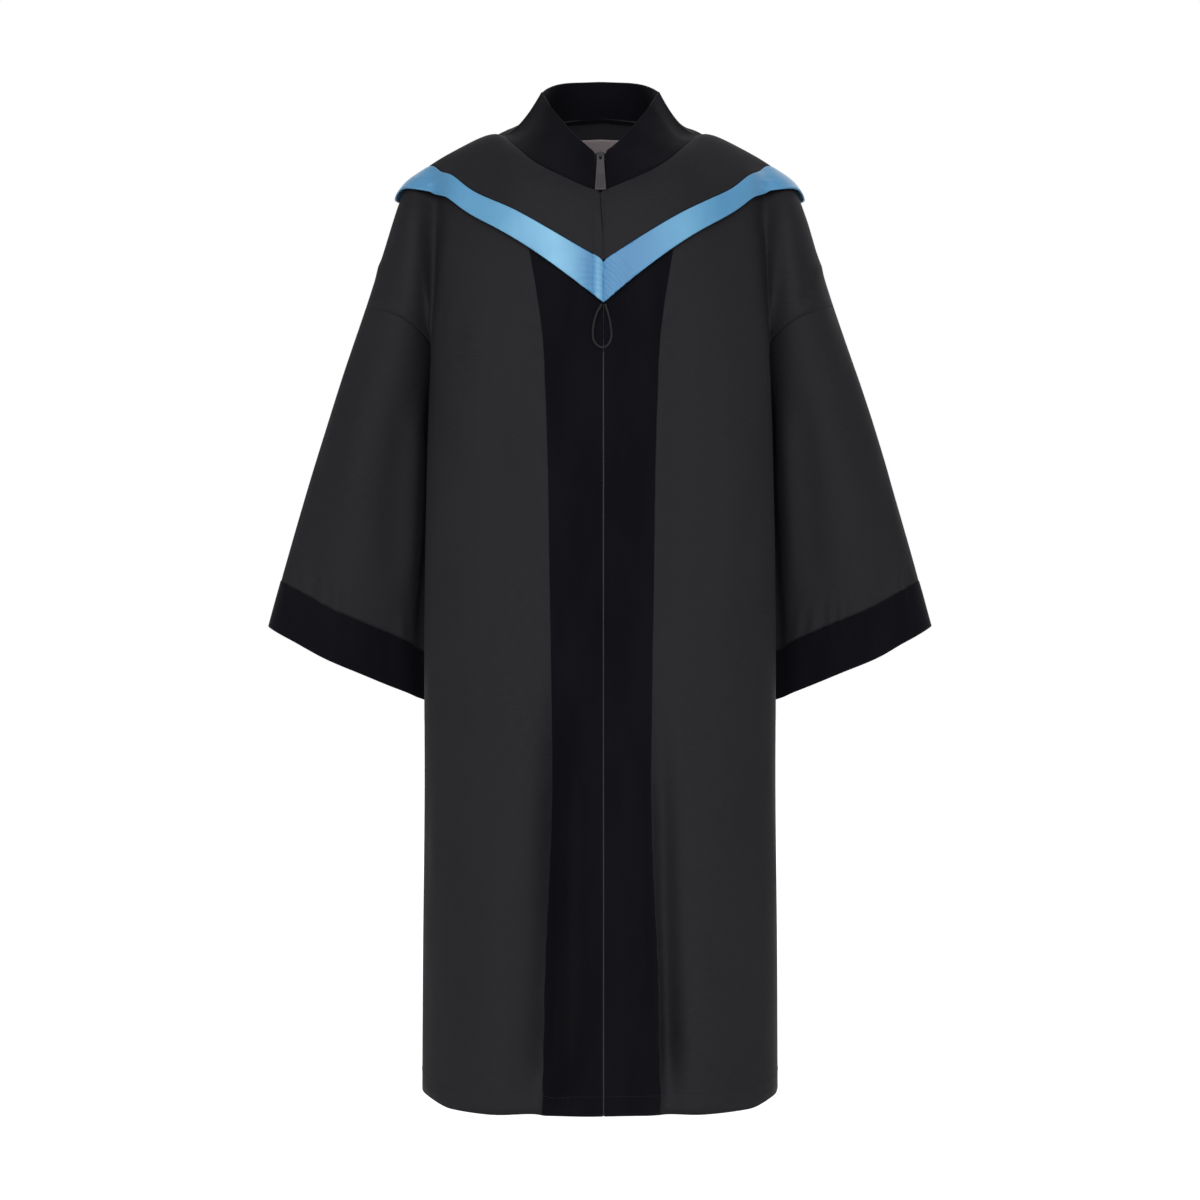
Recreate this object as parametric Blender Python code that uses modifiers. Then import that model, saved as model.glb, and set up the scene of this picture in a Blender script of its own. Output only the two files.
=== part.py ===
"""A graduation gown, filled out as if worn, hollow from neck to hem.

Metres. +Z is up, the front faces -Y and +X is the wearer's left. The origin lies at the base of the
neck, between the shoulders, where a wearer carries the gown. Every panel is worked out on its +X side,
where x grows from the centre line to the arm, and mirrored for the other side.
"""

import math
from collections import namedtuple
from functools import lru_cache

import bmesh
import bpy
from mathutils import Vector

# Driving dimensions
HEM_Z = -1.1234
UNDERARM_Z = -0.300
CLOTH = 0.0014  # wall of the gown cloth and of the cape
VELVET = 0.0020  # wall of the velvet bands
COLLAR_WALL = 0.0030
TRIM_WALL = 0.0018
TAPE_WALL = 0.0010
LABEL_WALL = 0.0010
SEAM = 0.0003  # gap between two pieces at a seam
CORNER_SEAM = 0.0008  # the same where two walls meet at an angle
VELVET_PROUD = 0.0006  # how far the velvet bands stand out from the cloth beside them
COLLAR_OUT = 0.0026  # from the gown's outer face to the collar's
CAPE_OUT_AT_NECK = 0.0024
CAPE_NECK_GAP = 0.0032  # clears the collar, which stands in a corner with the cape
CAPE_OUT = 0.0048
TRIM_PROUD = 0.0003
LABEL_OUT = 0.0006
PULL_CLEARANCE = 0.0010
SLIDER_HEIGHT_WAY = 0.92  # how far up the collar's V the slider sits
CENTRE_LEAN = 0.0039  # the centre front hangs this far towards the wearer's left
ZIP_HALF_GAP = 0.0010  # from the centre line to the edge of a velvet band
SIDES = ((1, "left"), (-1, "right"))

# Points in the hollow, which tell a sheet which way is in
BODY_MIDDLE = Vector((0, 0, -0.45))
NECK_MIDDLE = Vector((0, 0.01, -0.15))

# Body: level sections from hem to underarm. half_width lies at widest_y; back_round is the roundness of
# the back half, 2 for an ellipse; facing is the outer edge of the velvet band from the centre front.
Section = namedtuple("Section", "z half_width widest_y front_y back_y back_round facing")
SECTIONS = (
    Section(HEM_Z, 0.2071, -0.030, -0.149, 0.135, 2.10, 0.0672),
    Section(-0.971, 0.2064, -0.032, -0.149, 0.133, 2.05, 0.0640),
    Section(-0.750, 0.2038, -0.042, -0.148, 0.130, 1.85, 0.0560),
    Section(-0.620, 0.2036, -0.050, -0.147, 0.127, 1.65, 0.0570),
    Section(-0.507, 0.2023, -0.052, -0.146, 0.125, 1.60, 0.0589),
    Section(-0.395, 0.2002, -0.052, -0.146, 0.125, 1.65, 0.0605),
    Section(UNDERARM_Z, 0.1973, -0.055, -0.145, 0.125, 1.75, 0.0640),
)
FRONT_ROUND = 2.4

# Where the columns of a half panel lie, as shares of the way from the centre line to the side
FACING_SHARE = 0.32
NECK_SHARE = 0.50
CREASE_SHARE = 0.75
CREST_ANGLE = math.radians(90)  # the widest point of a section
SIDE_ANGLE = math.radians(112)  # the side seam
BACK_CREASE_ANGLE = math.radians(128)
UNDERARM_WAY = 0.5  # how far up a panel, from hem to top edge, the underarm's row lies

# Top edge of the front: the collar seam, then the shoulder line down to the top of the armhole
Stop = namedtuple("Stop", "share x y z")
FRONT_TOP = (
    Stop(0.00, 0.0000, -0.112, -0.0870),
    Stop(0.14, 0.0430, -0.104, -0.0680),
    Stop(0.24, 0.0745, -0.085, -0.0490),
    Stop(FACING_SHARE, 0.0950, -0.060, -0.0290),
    Stop(NECK_SHARE, 0.1250, 0.000, -0.0035),
    Stop(0.62, 0.1650, 0.008, -0.0195),
    Stop(CREASE_SHARE, 0.2000, 0.014, -0.0380),
    Stop(0.84, 0.2350, 0.018, -0.0660),
    Stop(0.92, 0.2535, 0.020, -0.1280),
    Stop(1.00, 0.2775, 0.020, -0.2018),
)
# Top edge of the back as far as the shoulder line, which it shares
BACK_TOP = (
    Stop(0.00, 0.0000, 0.074, 0.0363),
    Stop(0.20, 0.0550, 0.069, 0.0300),
    Stop(0.36, 0.1000, 0.046, 0.0170),
    Stop(NECK_SHARE, 0.1250, 0.000, -0.0035),
)

ARCH_AT_CENTRE = math.radians(65)  # how far the chest leans back below the collar's V
ARCH_AT_SHOULDER = math.radians(90)
BLADE_FULLNESS = 0.030  # how far the back stands out over the shoulder blades
CREASE_IN = 0.008  # how far the crease between chest and arm runs in from a straight line
CAP_FULLNESS = 0.012  # roundness of the cloth over the arm

# Armhole: a loop round the upper arm. The seam runs nearly level across the front, then drops
ARMHOLE_HALF_DEPTH = 0.075
ARMHOLE_LEVEL_DROP = 0.45
ARMHOLE_DROP_POWER = 8
ARMHOLE_NARROWING = 0.6  # how much narrower the loop is at the underarm

# Sleeve: from the armhole to the open end of the cuff
CUFF_OUTER = Vector((0.3981, 0.050, -0.5799))
CUFF_INNER = Vector((0.1890, 0.054, -0.6730))
CUFF_HALF_DEPTH = 0.046
CUFF_ROUND = 2.2
CUFF_SAG = 0.005  # the cuff's open edge hangs below the line between its ends
CUFF_BAND = 0.057
SLEEVE_LENGTH = 0.397
CUFF_WAY = 1 - CUFF_BAND / SLEEVE_LENGTH
SLEEVE_FULLNESS = 0.004
UNDERARM_EASE = 0.003  # the sleeve starts this far out from the body below the arm

# Collar: its top edge, over the same shares as the seam below it; sag hollows it towards the neck
Edge = namedtuple("Edge", "share x y z sag")
COLLAR_TOP_FRONT = (
    Edge(0.00, 0.0030, -0.088, -0.0414, 0.000),
    Edge(0.14, 0.0245, -0.066, -0.0190, 0.001),
    Edge(0.24, 0.0430, -0.044, 0.0060, 0.004),
    Edge(0.36, 0.0580, -0.020, 0.0300, 0.010),
    Edge(NECK_SHARE, 0.0680, 0.008, 0.0507, 0.015),
)
COLLAR_TOP_BACK = (
    Edge(0.00, 0.0000, 0.062, 0.0771, 0.000),
    Edge(0.20, 0.0360, 0.054, 0.0735, 0.002),
    Edge(0.36, 0.0580, 0.034, 0.0630, 0.008),
    Edge(NECK_SHARE, 0.0680, 0.008, 0.0507, 0.015),
)
COLLAR_HALF_GAP = 0.0060

# Cape and its trim: the trim's two edges, from the centre front over the shoulder to the centre back
Hem = namedtuple("Hem", "way inner_x inner_z outer_x outer_z")
CAPE_FRONT = (
    Hem(0.00, 0.0000, -0.1705, 0.0000, -0.2178),
    Hem(0.10, 0.0222, -0.1560, 0.0280, -0.1945),
    Hem(0.22, 0.0789, -0.1205, 0.1014, -0.1391),
    Hem(0.30, 0.1087, -0.1024, 0.1405, -0.1144),
    Hem(0.38, 0.1500, -0.0789, 0.1770, -0.0880),
    Hem(0.44, 0.1800, -0.0580, 0.2130, -0.0725),
)
CAPE_BACK = (
    Hem(0.58, 0.1780, -0.0950, 0.2050, -0.1150),
    Hem(0.70, 0.1350, -0.1550, 0.1550, -0.1830),
    Hem(0.85, 0.0700, -0.2000, 0.0780, -0.2330),
    Hem(1.00, 0.0000, -0.2150, 0.0000, -0.2500),
)
SHOULDER_WAY = 0.50
TRIM_INNER_RIDGE_X = 0.2040
TRIM_OUTER_RIDGE_X = 0.2400

# Soft folds of the body, as troughs (or ridges, where depth is negative) that run down the cloth
Fold = namedtuple("Fold", "x width top_z bottom_z depth")
FRONT_FOLDS = (
    Fold(0.082, 0.016, -0.680, -1.000, 0.007),
    Fold(0.135, 0.026, -0.560, -1.050, -0.004),
)
BACK_FOLDS = (
    Fold(0.000, 0.020, -0.260, -0.900, 0.014),
    Fold(0.046, 0.018, -0.260, -0.900, -0.008),
    Fold(0.090, 0.018, -0.280, -0.950, 0.014),
    Fold(0.134, 0.018, -0.400, -1.000, -0.006),
)
# Folds of a sleeve: turn is the share of the way round, from the outer edge across the front
SleeveFold = namedtuple("SleeveFold", "turn width depth top_way bottom_way")
SLEEVE_FOLDS = (
    SleeveFold(0.40, 0.035, 0.010, 0.25, 0.75),
    SleeveFold(0.22, 0.045, -0.006, 0.45, 1.00),
    SleeveFold(0.66, 0.045, -0.008, 0.35, 1.00),
    SleeveFold(0.84, 0.045, -0.006, 0.45, 1.00),
)

# Zip head, at the top of the collar's V
ZIP_X = 0.0005
ZIP_SLOPE = math.radians(62.2)
SLIDER_WIDTH = 0.009
SLIDER_HEIGHT = 0.012
SLIDER_DEPTH = 0.0038
SLIDER_EDGE = 0.0008
SLIDER_CLEARANCE = 0.0004  # between slider and pull
BRIDGE_WIDTH = 0.0020
BRIDGE_HEIGHT = 0.0080
BRIDGE_DEPTH = 0.0040
BRIDGE_ROOT = 0.0002  # how deep the bridge stands in the slider
BRIDGE_LEG = 0.0015
BRIDGE_WINDOW = 0.0026
PULL_LENGTH = 0.050
PULL_TOP_WIDTH = 0.0072
PULL_BOTTOM_WIDTH = 0.0124
PULL_DEPTH = 0.0016
PULL_WINDOW_WIDTH = 0.0036
PULL_WINDOW_HEIGHT = 0.0056
PULL_TOP_CORNER = 0.0010
PULL_LOW_CORNER = 0.0015

# Cord loop below the point of the trim, as route points x and z in front of the velvet
CORD_DIAMETER = 0.0024
CORD_ROUTE = (
    (0.0019, -0.2192),
    (-0.0005, -0.2235),
    (-0.0040, -0.2300),
    (-0.0068, -0.2402),
    (-0.0080, -0.2531),
    (-0.0056, -0.2620),
    (0.0022, -0.2675),
    (0.0093, -0.2639),
    (0.0128, -0.2541),
    (0.0115, -0.2402),
    (0.0090, -0.2295),
    (0.0070, -0.2235),
    (0.0058, -0.2192),
)

LABEL_HALF_WIDTH = 0.031
LABEL_TOP_Z = 0.0125
LABEL_BOTTOM_Z = -0.0500
TAPE_HALF_WIDTH = 0.0110
TAPE_TOP_WAY = 1.85
TAPE_COLLAR_CLEARANCE = 0.0030


def clamp(value, low=0.0, high=1.0):
    return max(low, min(high, value))


def ease(value):
    """A smooth step from 0 to 1."""
    value = clamp(value)
    return value * value * (3 - 2 * value)


def mix(a, b, share):
    return a + (b - a) * share


def power(value, exponent):
    """A power that keeps the sign."""
    return math.copysign(abs(value) ** exponent, value)


def through(knots, values, at):
    """A smooth curve through the values, which doesn't swing past them."""
    last = len(knots) - 1
    steps = [knots[i + 1] - knots[i] for i in range(last)]
    rises = [(values[i + 1] - values[i]) / steps[i] for i in range(last)]
    slopes = [rises[0]]
    for i in range(1, last):
        level = rises[i - 1] * rises[i] <= 0
        slopes.append(0.0 if level else 2 * rises[i - 1] * rises[i] / (rises[i - 1] + rises[i]))
    slopes.append(rises[-1])
    i = 0
    while i < last - 1 and at > knots[i + 1]:
        i += 1
    u = (at - knots[i]) / steps[i]
    return (
        values[i] * (1 + 2 * u) * (1 - u) ** 2
        + steps[i] * slopes[i] * u * (1 - u) ** 2
        + values[i + 1] * u * u * (3 - 2 * u)
        + steps[i] * slopes[i + 1] * u * u * (u - 1)
    )


def read(table, column, key, at):
    """A column of a table, read smoothly at a value of the key column."""
    knots = [getattr(row, key) for row in table]
    return through(knots, [getattr(row, column) for row in table], at)


def read_point(table, at):
    return Vector(read(table, axis, "share", at) for axis in "xyz")


def front_top(share):
    return read_point(FRONT_TOP, share)


def back_top(share):
    return read_point(BACK_TOP, share) if share < NECK_SHARE else front_top(share)


def section_point(z, angle):
    """A point of the body's level section; the angle runs from the centre front to the centre back."""
    half_width = read(SECTIONS, "half_width", "z", z)
    widest_y = read(SECTIONS, "widest_y", "z", z)
    if angle <= CREST_ANGLE:
        roundness = FRONT_ROUND
        far_y = read(SECTIONS, "front_y", "z", z)
    else:
        roundness = read(SECTIONS, "back_round", "z", z)
        far_y = read(SECTIONS, "back_y", "z", z)
    x = half_width * power(math.sin(angle), 2 / roundness)
    y = mix(widest_y, far_y, abs(math.cos(angle)) ** (2 / roundness))
    return Vector((x, y, z))


def front_angle(z, share):
    """Where a column of the front meets a level section."""
    half_width = read(SECTIONS, "half_width", "z", z)
    facing = read(SECTIONS, "facing", "z", z) / half_width
    facing_angle = math.asin(facing ** (FRONT_ROUND / 2))
    if share < FACING_SHARE:
        return math.asin(power(facing * share / FACING_SHARE, FRONT_ROUND / 2))
    if share < CREASE_SHARE:
        return mix(facing_angle, CREST_ANGLE, (share - FACING_SHARE) / (CREASE_SHARE - FACING_SHARE))
    return mix(CREST_ANGLE, SIDE_ANGLE, (share - CREASE_SHARE) / (1 - CREASE_SHARE))


def back_angle(z, share):
    if share < CREASE_SHARE:
        return mix(math.pi, BACK_CREASE_ANGLE, share / CREASE_SHARE)
    return mix(BACK_CREASE_ANGLE, SIDE_ANGLE, (share - CREASE_SHARE) / (1 - CREASE_SHARE))


def arch(start, end, share, way):
    """From straight up at the start, over the shoulder to the end."""
    lean = mix(ARCH_AT_CENTRE, ARCH_AT_SHOULDER, ease(share / NECK_SHARE))
    angle = lean * way
    height = math.sin(angle) / math.sin(lean)
    point = Vector((0, 0, mix(start.z, end.z, height)))
    point.x = mix(start.x, end.x, ease(height) if way < 1 else 1)
    point.y = mix(start.y, end.y, (1 - math.cos(angle)) / (1 - math.cos(lean)))
    return point


def armhole(turn):
    """The armhole seam. 0 is its top, 0.25 its front, 0.5 the underarm and 0.75 its back."""
    top = front_top(1)
    bottom = section_point(UNDERARM_Z, SIDE_ANGLE)
    fall = (1 - math.cos(2 * math.pi * turn)) / 2
    drop = ARMHOLE_LEVEL_DROP * fall + (1 - ARMHOLE_LEVEL_DROP) * fall**ARMHOLE_DROP_POWER
    x = mix(top.x, bottom.x, fall)
    half_depth = ARMHOLE_HALF_DEPTH * (1 - ARMHOLE_NARROWING * fall**4)
    y = mix(top.y, bottom.y, fall) - half_depth * math.sin(2 * math.pi * turn)
    return Vector((x, y, mix(top.z, bottom.z, drop)))


class Half:
    """One half of the front or of the back, as a surface over a share across and a way up."""

    def __init__(self, angle_at, top, facing_y, folds):
        self.angle_at = angle_at
        self.top = top
        self.facing_y = facing_y  # -1 for the front, 1 for the back
        self.folds = folds

    def below(self, z, share):
        return section_point(z, self.angle_at(z, share))

    def rise(self, share, way):
        """A column of the chest or the shoulder blade, from the underarm's height to the top edge."""
        point = arch(self.below(UNDERARM_Z, share), self.top(share), share, way)
        across = share / CREASE_SHARE
        swell = math.sin(math.pi * clamp(way))
        if self.facing_y > 0:
            point.y += BLADE_FULLNESS * swell * clamp(across) ** 2
        point.x -= CREASE_IN * swell * clamp(across) ** 6
        return point

    def cap(self, share, way):
        """The cloth that drops over the upper arm, between the crease and the armhole."""
        across = (share - CREASE_SHARE) / (1 - CREASE_SHARE)
        turn = 0.5 * (1 - way)
        edge = armhole(turn if self.facing_y < 0 else -turn)
        inner = self.rise(CREASE_SHARE, way)
        low = self.below(UNDERARM_Z, share)
        low -= self.below(UNDERARM_Z, CREASE_SHARE).lerp(self.below(UNDERARM_Z, 1), across)
        high = self.top(share) - self.top(CREASE_SHARE).lerp(self.top(1), across)
        point = inner.lerp(edge, across) + low * (1 - ease(way)) + high * ease(way)
        swell = math.sin(math.pi * clamp(across)) * math.sin(math.pi * clamp(way))
        point += Vector((0.3, self.facing_y, 0.3)) * CAP_FULLNESS * swell
        return point

    def point(self, share, way):
        """way 0 is the hem, UNDERARM_WAY the underarm and 1 the top edge."""
        if way < UNDERARM_WAY:
            point = self.below(mix(HEM_Z, UNDERARM_Z, way / UNDERARM_WAY), share)
        else:
            upper = (way - UNDERARM_WAY) / (1 - UNDERARM_WAY)
            point = self.rise(share, upper) if share <= CREASE_SHARE else self.cap(share, upper)
        for fold in self.folds:
            grown = ease((point.z - fold.top_z) / (fold.bottom_z - fold.top_z))
            bump = math.exp(-(((abs(point.x) - fold.x) / fold.width) ** 2))
            point.y -= self.facing_y * fold.depth * bump * grown
        return point


FRONT = Half(front_angle, front_top, -1, FRONT_FOLDS)
BACK = Half(back_angle, back_top, 1, BACK_FOLDS)


def normal_of(surface, u, v, step=0.002):
    """The outward direction of a surface whose u, v and outside are a right-handed set."""
    across = surface(u + step, v) - surface(u - step, v)
    along = surface(u, v + step) - surface(u, v - step)
    return across.cross(along).normalized()


def moved_out(surface, distance, sign=1):
    return lambda u, v: surface(u, v) + normal_of(surface, u, v) * distance * sign


def collar_point(way, height):
    """way 0 is the centre front, 0.5 the side of the neck and 1 the centre back."""
    if way < NECK_SHARE:
        share, low, table = way, front_top(way), COLLAR_TOP_FRONT
    else:
        share = 1 - way
        low, table = back_top(share), COLLAR_TOP_BACK
    point = low.lerp(read_point(table, share), height)
    point.z -= 4 * height * (1 - height) * read(table, "sag", "share", share)
    return point


def place_on(half, x, z, start=None):
    """The share and way at which a half panel has this x and z."""

    def off(share, way):
        point = half.point(share, way)
        return point.x - x, point.z - z

    if start is None:
        grid = [(i / 24, j / 40) for i in range(25) for j in range(20, 41)]
        start = min(grid, key=lambda place: math.hypot(*off(*place)))
    share, way = start
    step = 1e-4
    for _ in range(20):
        x0, z0 = off(share, way)
        xs, zs = off(share - step, way)
        xw, zw = off(share, way - step)
        a, b, c, d = (x0 - xs) / step, (x0 - xw) / step, (z0 - zs) / step, (z0 - zw) / step
        det = a * d - b * c
        if abs(det) < 1e-9:
            break
        share = clamp(share - 0.7 * (d * x0 - b * z0) / det)
        way = clamp(way - 0.7 * (a * z0 - c * x0) / det, UNDERARM_WAY)
    return share, way


def ridge_share(x):
    """Where the shoulder line has this x."""
    low, high = NECK_SHARE, 1.0
    for _ in range(40):
        middle = (low + high) / 2
        low, high = (middle, high) if front_top(middle).x < x else (low, middle)
    return low


CapeStop = namedtuple("CapeStop", "way neck inner_share inner_way outer_share outer_way")


def cape_stops(half, hems):
    """The cape's table as places on a half panel, ending or starting at the shoulder line."""
    stops = []
    for hem in hems:
        neck = NECK_SHARE * (hem.way if half is FRONT else 1 - hem.way) / SHOULDER_WAY
        inner = place_on(half, hem.inner_x, hem.inner_z)
        outer = place_on(half, hem.outer_x, hem.outer_z)
        stops.append(CapeStop(hem.way, neck, *inner, *outer))
    inner, outer = ridge_share(TRIM_INNER_RIDGE_X), ridge_share(TRIM_OUTER_RIDGE_X)
    ridge = CapeStop(SHOULDER_WAY, NECK_SHARE, inner, 1.0, outer, 1.0)
    return stops + [ridge] if half is FRONT else [ridge] + stops


FRONT_STOPS = cape_stops(FRONT, CAPE_FRONT)
BACK_STOPS = cape_stops(BACK, CAPE_BACK)


@lru_cache(None)
def cape_line(way):
    """The places of the collar seam and of the trim's two edges on the panel, at this way round."""
    half, stops, hems = (FRONT, FRONT_STOPS, CAPE_FRONT)
    if way > SHOULDER_WAY:
        half, stops, hems = (BACK, BACK_STOPS, CAPE_BACK)
    places = []
    for edge in ("inner", "outer"):
        place = tuple(read(stops, f"{edge}_{column}", "way", way) for column in ("share", "way"))
        if hems[0].way <= way <= hems[-1].way:
            place = place_on(half, *(read(hems, f"{edge}_{axis}", "way", way) for axis in "xz"), place)
        places.append(place)
    neck = (read(stops, "neck", "way", way), 1.0)
    return half, (neck, *places)


def cape_base(way, spread):
    """The gown's face under the cape. spread 0 is the collar seam, 1 and 2 the trim's two edges."""
    half, places = cape_line(clamp(way))
    start, end = places[:2] if spread <= 1 else places[1:]
    along = spread if spread <= 1 else spread - 1
    return half.point(mix(start[0], end[0], along), mix(start[1], end[1], along))


def cape_face(way, spread):
    """The cape's outside: close to the gown at the collar, then standing off it."""
    # The spread runs down, away from the collar, so the outside is against the right hand
    out = mix(CAPE_OUT_AT_NECK, CAPE_OUT, ease(spread / 0.4))
    return cape_base(way, spread) - normal_of(cape_base, way, spread) * out


def trim_face(way, spread):
    return cape_base(way, spread) - normal_of(cape_base, way, spread) * (CAPE_OUT + TRIM_PROUD)


def cuff_ring(turn):
    """The open end of the sleeve."""
    angle = 2 * math.pi * turn
    centre = (CUFF_OUTER + CUFF_INNER) / 2
    half_width = (CUFF_OUTER - CUFF_INNER) / 2
    point = centre + half_width * power(math.cos(angle), 2 / CUFF_ROUND)
    point.y -= CUFF_HALF_DEPTH * power(math.sin(angle), 2 / CUFF_ROUND)
    point.z -= CUFF_SAG * math.sin(angle) ** 2
    return point


def sleeve_point(turn, way):
    """way 0 is the armhole and 1 the end of the cuff."""
    start = armhole(turn)
    inner = math.sin(math.pi * turn) ** 8
    start.x += UNDERARM_EASE * inner
    point = start.lerp(cuff_ring(turn), way)
    axis = armhole(0).lerp(armhole(0.5), 0.5).lerp((CUFF_OUTER + CUFF_INNER) / 2, way)
    out = point - axis
    out.z = 0
    out.normalize()
    point += out * SLEEVE_FULLNESS * math.sin(math.pi * clamp(way)) * (1 - inner)
    for fold in SLEEVE_FOLDS:
        grown = ease(way / fold.top_way) * mix(1, 0.6, ease((way - fold.bottom_way) / 0.25))
        bump = math.exp(-(((turn % 1 - fold.turn) / fold.width) ** 2))
        point -= out * fold.depth * bump * grown
    return point


def placed(point, side):
    """A point of the +X half put on its side, with the centre front's lean."""
    fall = ease((-0.08 - point.z) / 0.08) * ease(-point.y / 0.10)
    near = clamp(1 - abs(point.x) / 0.2) ** 2
    return Vector((side * point.x + CENTRE_LEAN * fall * near, point.y, point.z))


def cloth_material(name, colour, roughness, sheen=0.0):
    material = bpy.data.materials.new(name)
    material.use_nodes = True
    shader = material.node_tree.nodes["Principled BSDF"]
    shader.inputs["Base Color"].default_value = (*colour, 1)
    shader.inputs["Roughness"].default_value = roughness
    shader.inputs["Sheen Weight"].default_value = sheen
    return material


def metal_material(name, colour, roughness):
    material = cloth_material(name, colour, roughness)
    material.node_tree.nodes["Principled BSDF"].inputs["Metallic"].default_value = 1
    return material


def pull_in(points, gaps):
    """Draws the grid's rims in by their seam gaps. points[column][row]; gaps are left, right, low, high."""
    left, right, low, high = gaps
    for column in points:
        column[0] = column[0] + (column[1] - column[0]).normalized() * low
        column[-1] = column[-1] + (column[-2] - column[-1]).normalized() * high
    for row in range(len(points[0])):
        for near, far, gap in ((0, 1, left), (-1, -2, right)):
            step = points[far][row] - points[near][row]
            points[near][row] = points[near][row] + step.normalized() * gap


def sheet(name, surface, columns, rows, wall, material, side=1, gaps=(0, 0, 0, 0), inside=None, tube=False):
    """A cloth piece: a grid laid on its surface, closed round where it is a tube, and given its wall
    inwards. inside is a point in the hollow near the sheet's middle."""
    points = [[surface(u, v) for v in rows] for u in columns]
    pull_in(points, gaps)
    bm = bmesh.new()
    bmesh.ops.create_grid(bm, x_segments=len(columns) - 1, y_segments=len(rows) - 1, size=0.5)
    for vertex in bm.verts:
        column = round((vertex.co.x + 0.5) * (len(columns) - 1))
        row = round((vertex.co.y + 0.5) * (len(rows) - 1))
        on_side = side if side else math.copysign(1, columns[column])
        vertex.co = placed(points[column][row], on_side)
    if tube:
        bmesh.ops.remove_doubles(bm, verts=bm.verts, dist=1e-6)
    bm.normal_update()
    bm.faces.ensure_lookup_table()
    outwards = sum(face.normal.dot(face.calc_center_median() - inside) for face in bm.faces)
    if outwards < 0:
        bmesh.ops.reverse_faces(bm, faces=bm.faces)
    obj = as_object(name, bm, material)
    solidify = obj.modifiers.new("Wall", "SOLIDIFY")
    solidify.thickness = wall
    solidify.offset = -1
    return obj


def as_object(name, bm, material):
    mesh = bpy.data.meshes.new(name)
    bm.to_mesh(mesh)
    bm.free()
    mesh.materials.append(material)
    mesh.shade_smooth()
    obj = bpy.data.objects.new(name, mesh)
    gown.objects.link(obj)
    return obj


def steps(start, end, count):
    return [mix(start, end, i / count) for i in range(count + 1)]


def both_ways(surface):
    """A half surface carried across the centre line; the sheet mirrors the side with negative shares."""
    return lambda share, way: surface(abs(share), way)


def way_rows(low, high):
    """Rows up a panel: long steps over the skirt and short ones over chest and shoulder."""
    return steps(low, UNDERARM_WAY, 11) + steps(UNDERARM_WAY, high, ARMHOLE_STEPS)[1:]


def make_fronts():
    for side, word in SIDES:
        columns = NECK_SHARES[FACING_COLUMNS:] + SHOULDER_SHARES
        gaps = (SEAM / 2, CORNER_SEAM / 2, 0, CORNER_SEAM / 2)
        sheet(f"front_{word}", FRONT.point, columns, way_rows(0, 1), CLOTH, cloth, side, gaps, BODY_MIDDLE)


def make_facings():
    raised = moved_out(FRONT.point, VELVET_PROUD)
    start = FACING_SHARE * ZIP_HALF_GAP / SECTIONS[-1].facing
    for side, word in SIDES:
        columns = [start] + NECK_SHARES[1 : FACING_COLUMNS + 1]
        gaps = (0, CORNER_SEAM, 0, CORNER_SEAM / 2)
        sheet(f"facing_{word}", raised, columns, way_rows(0, 1), VELVET, velvet, side, gaps, BODY_MIDDLE)


def make_back():
    half = BACK_NECK_SHARES + SHOULDER_SHARES
    columns = [-share for share in half[:0:-1]] + half
    gaps = (CORNER_SEAM / 2, CORNER_SEAM / 2, 0, CORNER_SEAM / 2)
    sheet("back", both_ways(BACK.point), columns, way_rows(0, 1), CLOTH, cloth, 0, gaps, BODY_MIDDLE)


def make_sleeves():
    for side, word in SIDES:
        middle = placed(armhole(0).lerp(CUFF_INNER, 0.5) + Vector((0.03, 0, 0)), side)
        turns = steps(0, 1, 2 * ARMHOLE_STEPS)
        sleeve_ways = steps(0, CUFF_WAY, 11)
        gaps = (0, 0, CORNER_SEAM / 2, SEAM / 2)
        sheet(f"sleeve_{word}", sleeve_point, turns, sleeve_ways, CLOTH, cloth, side, gaps, middle, True)
        cuff_ways = steps(CUFF_WAY, 1, 2)
        raised = moved_out(sleeve_point, VELVET_PROUD)
        gaps = (0, 0, SEAM / 2, 0)
        sheet(f"cuff_{word}", raised, turns, cuff_ways, VELVET, velvet, side, gaps, middle, True)


def make_collar():
    start = FRONT_TOP[1].share * COLLAR_HALF_GAP / FRONT_TOP[1].x
    half = CAPE_WAYS[:0:-1] + [start]
    columns = [-way for way in half[::-1][:-1]] + half
    raised = moved_out(collar_point, COLLAR_OUT)
    gaps = (0, 0, SEAM / 2, 0)
    sheet("collar", both_ways(raised), columns, steps(0, 1, 4), COLLAR_WALL, velvet, 0, gaps, NECK_MIDDLE)


def make_cape():
    for side, word in SIDES:
        gaps = (SEAM, SEAM, CAPE_NECK_GAP, SEAM / 2)
        sheet(f"cape_{word}", cape_face, CAPE_WAYS, steps(0, 1, 7), CLOTH, cloth, side, gaps, NECK_MIDDLE)
        gaps = (SEAM, SEAM, SEAM, 0)
        sheet(f"trim_{word}", trim_face, CAPE_WAYS, steps(1, 2, 4), TRIM_WALL, satin, side, gaps, NECK_MIDDLE)


def make_label():
    """The patch inside the back of the neck."""
    inner = moved_out(BACK.point, CLOTH + LABEL_OUT)
    share = place_on(BACK, LABEL_HALF_WIDTH, LABEL_TOP_Z)[0]
    top = place_on(BACK, 0.0, LABEL_TOP_Z)[1]
    bottom = place_on(BACK, 0.0, LABEL_BOTTOM_Z)[1]
    columns = steps(-share, share, 4)
    face = both_ways(inner)
    sheet("label", face, columns, steps(bottom, top, 3), LABEL_WALL, label_cloth, 0, inside=NECK_MIDDLE)


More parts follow.
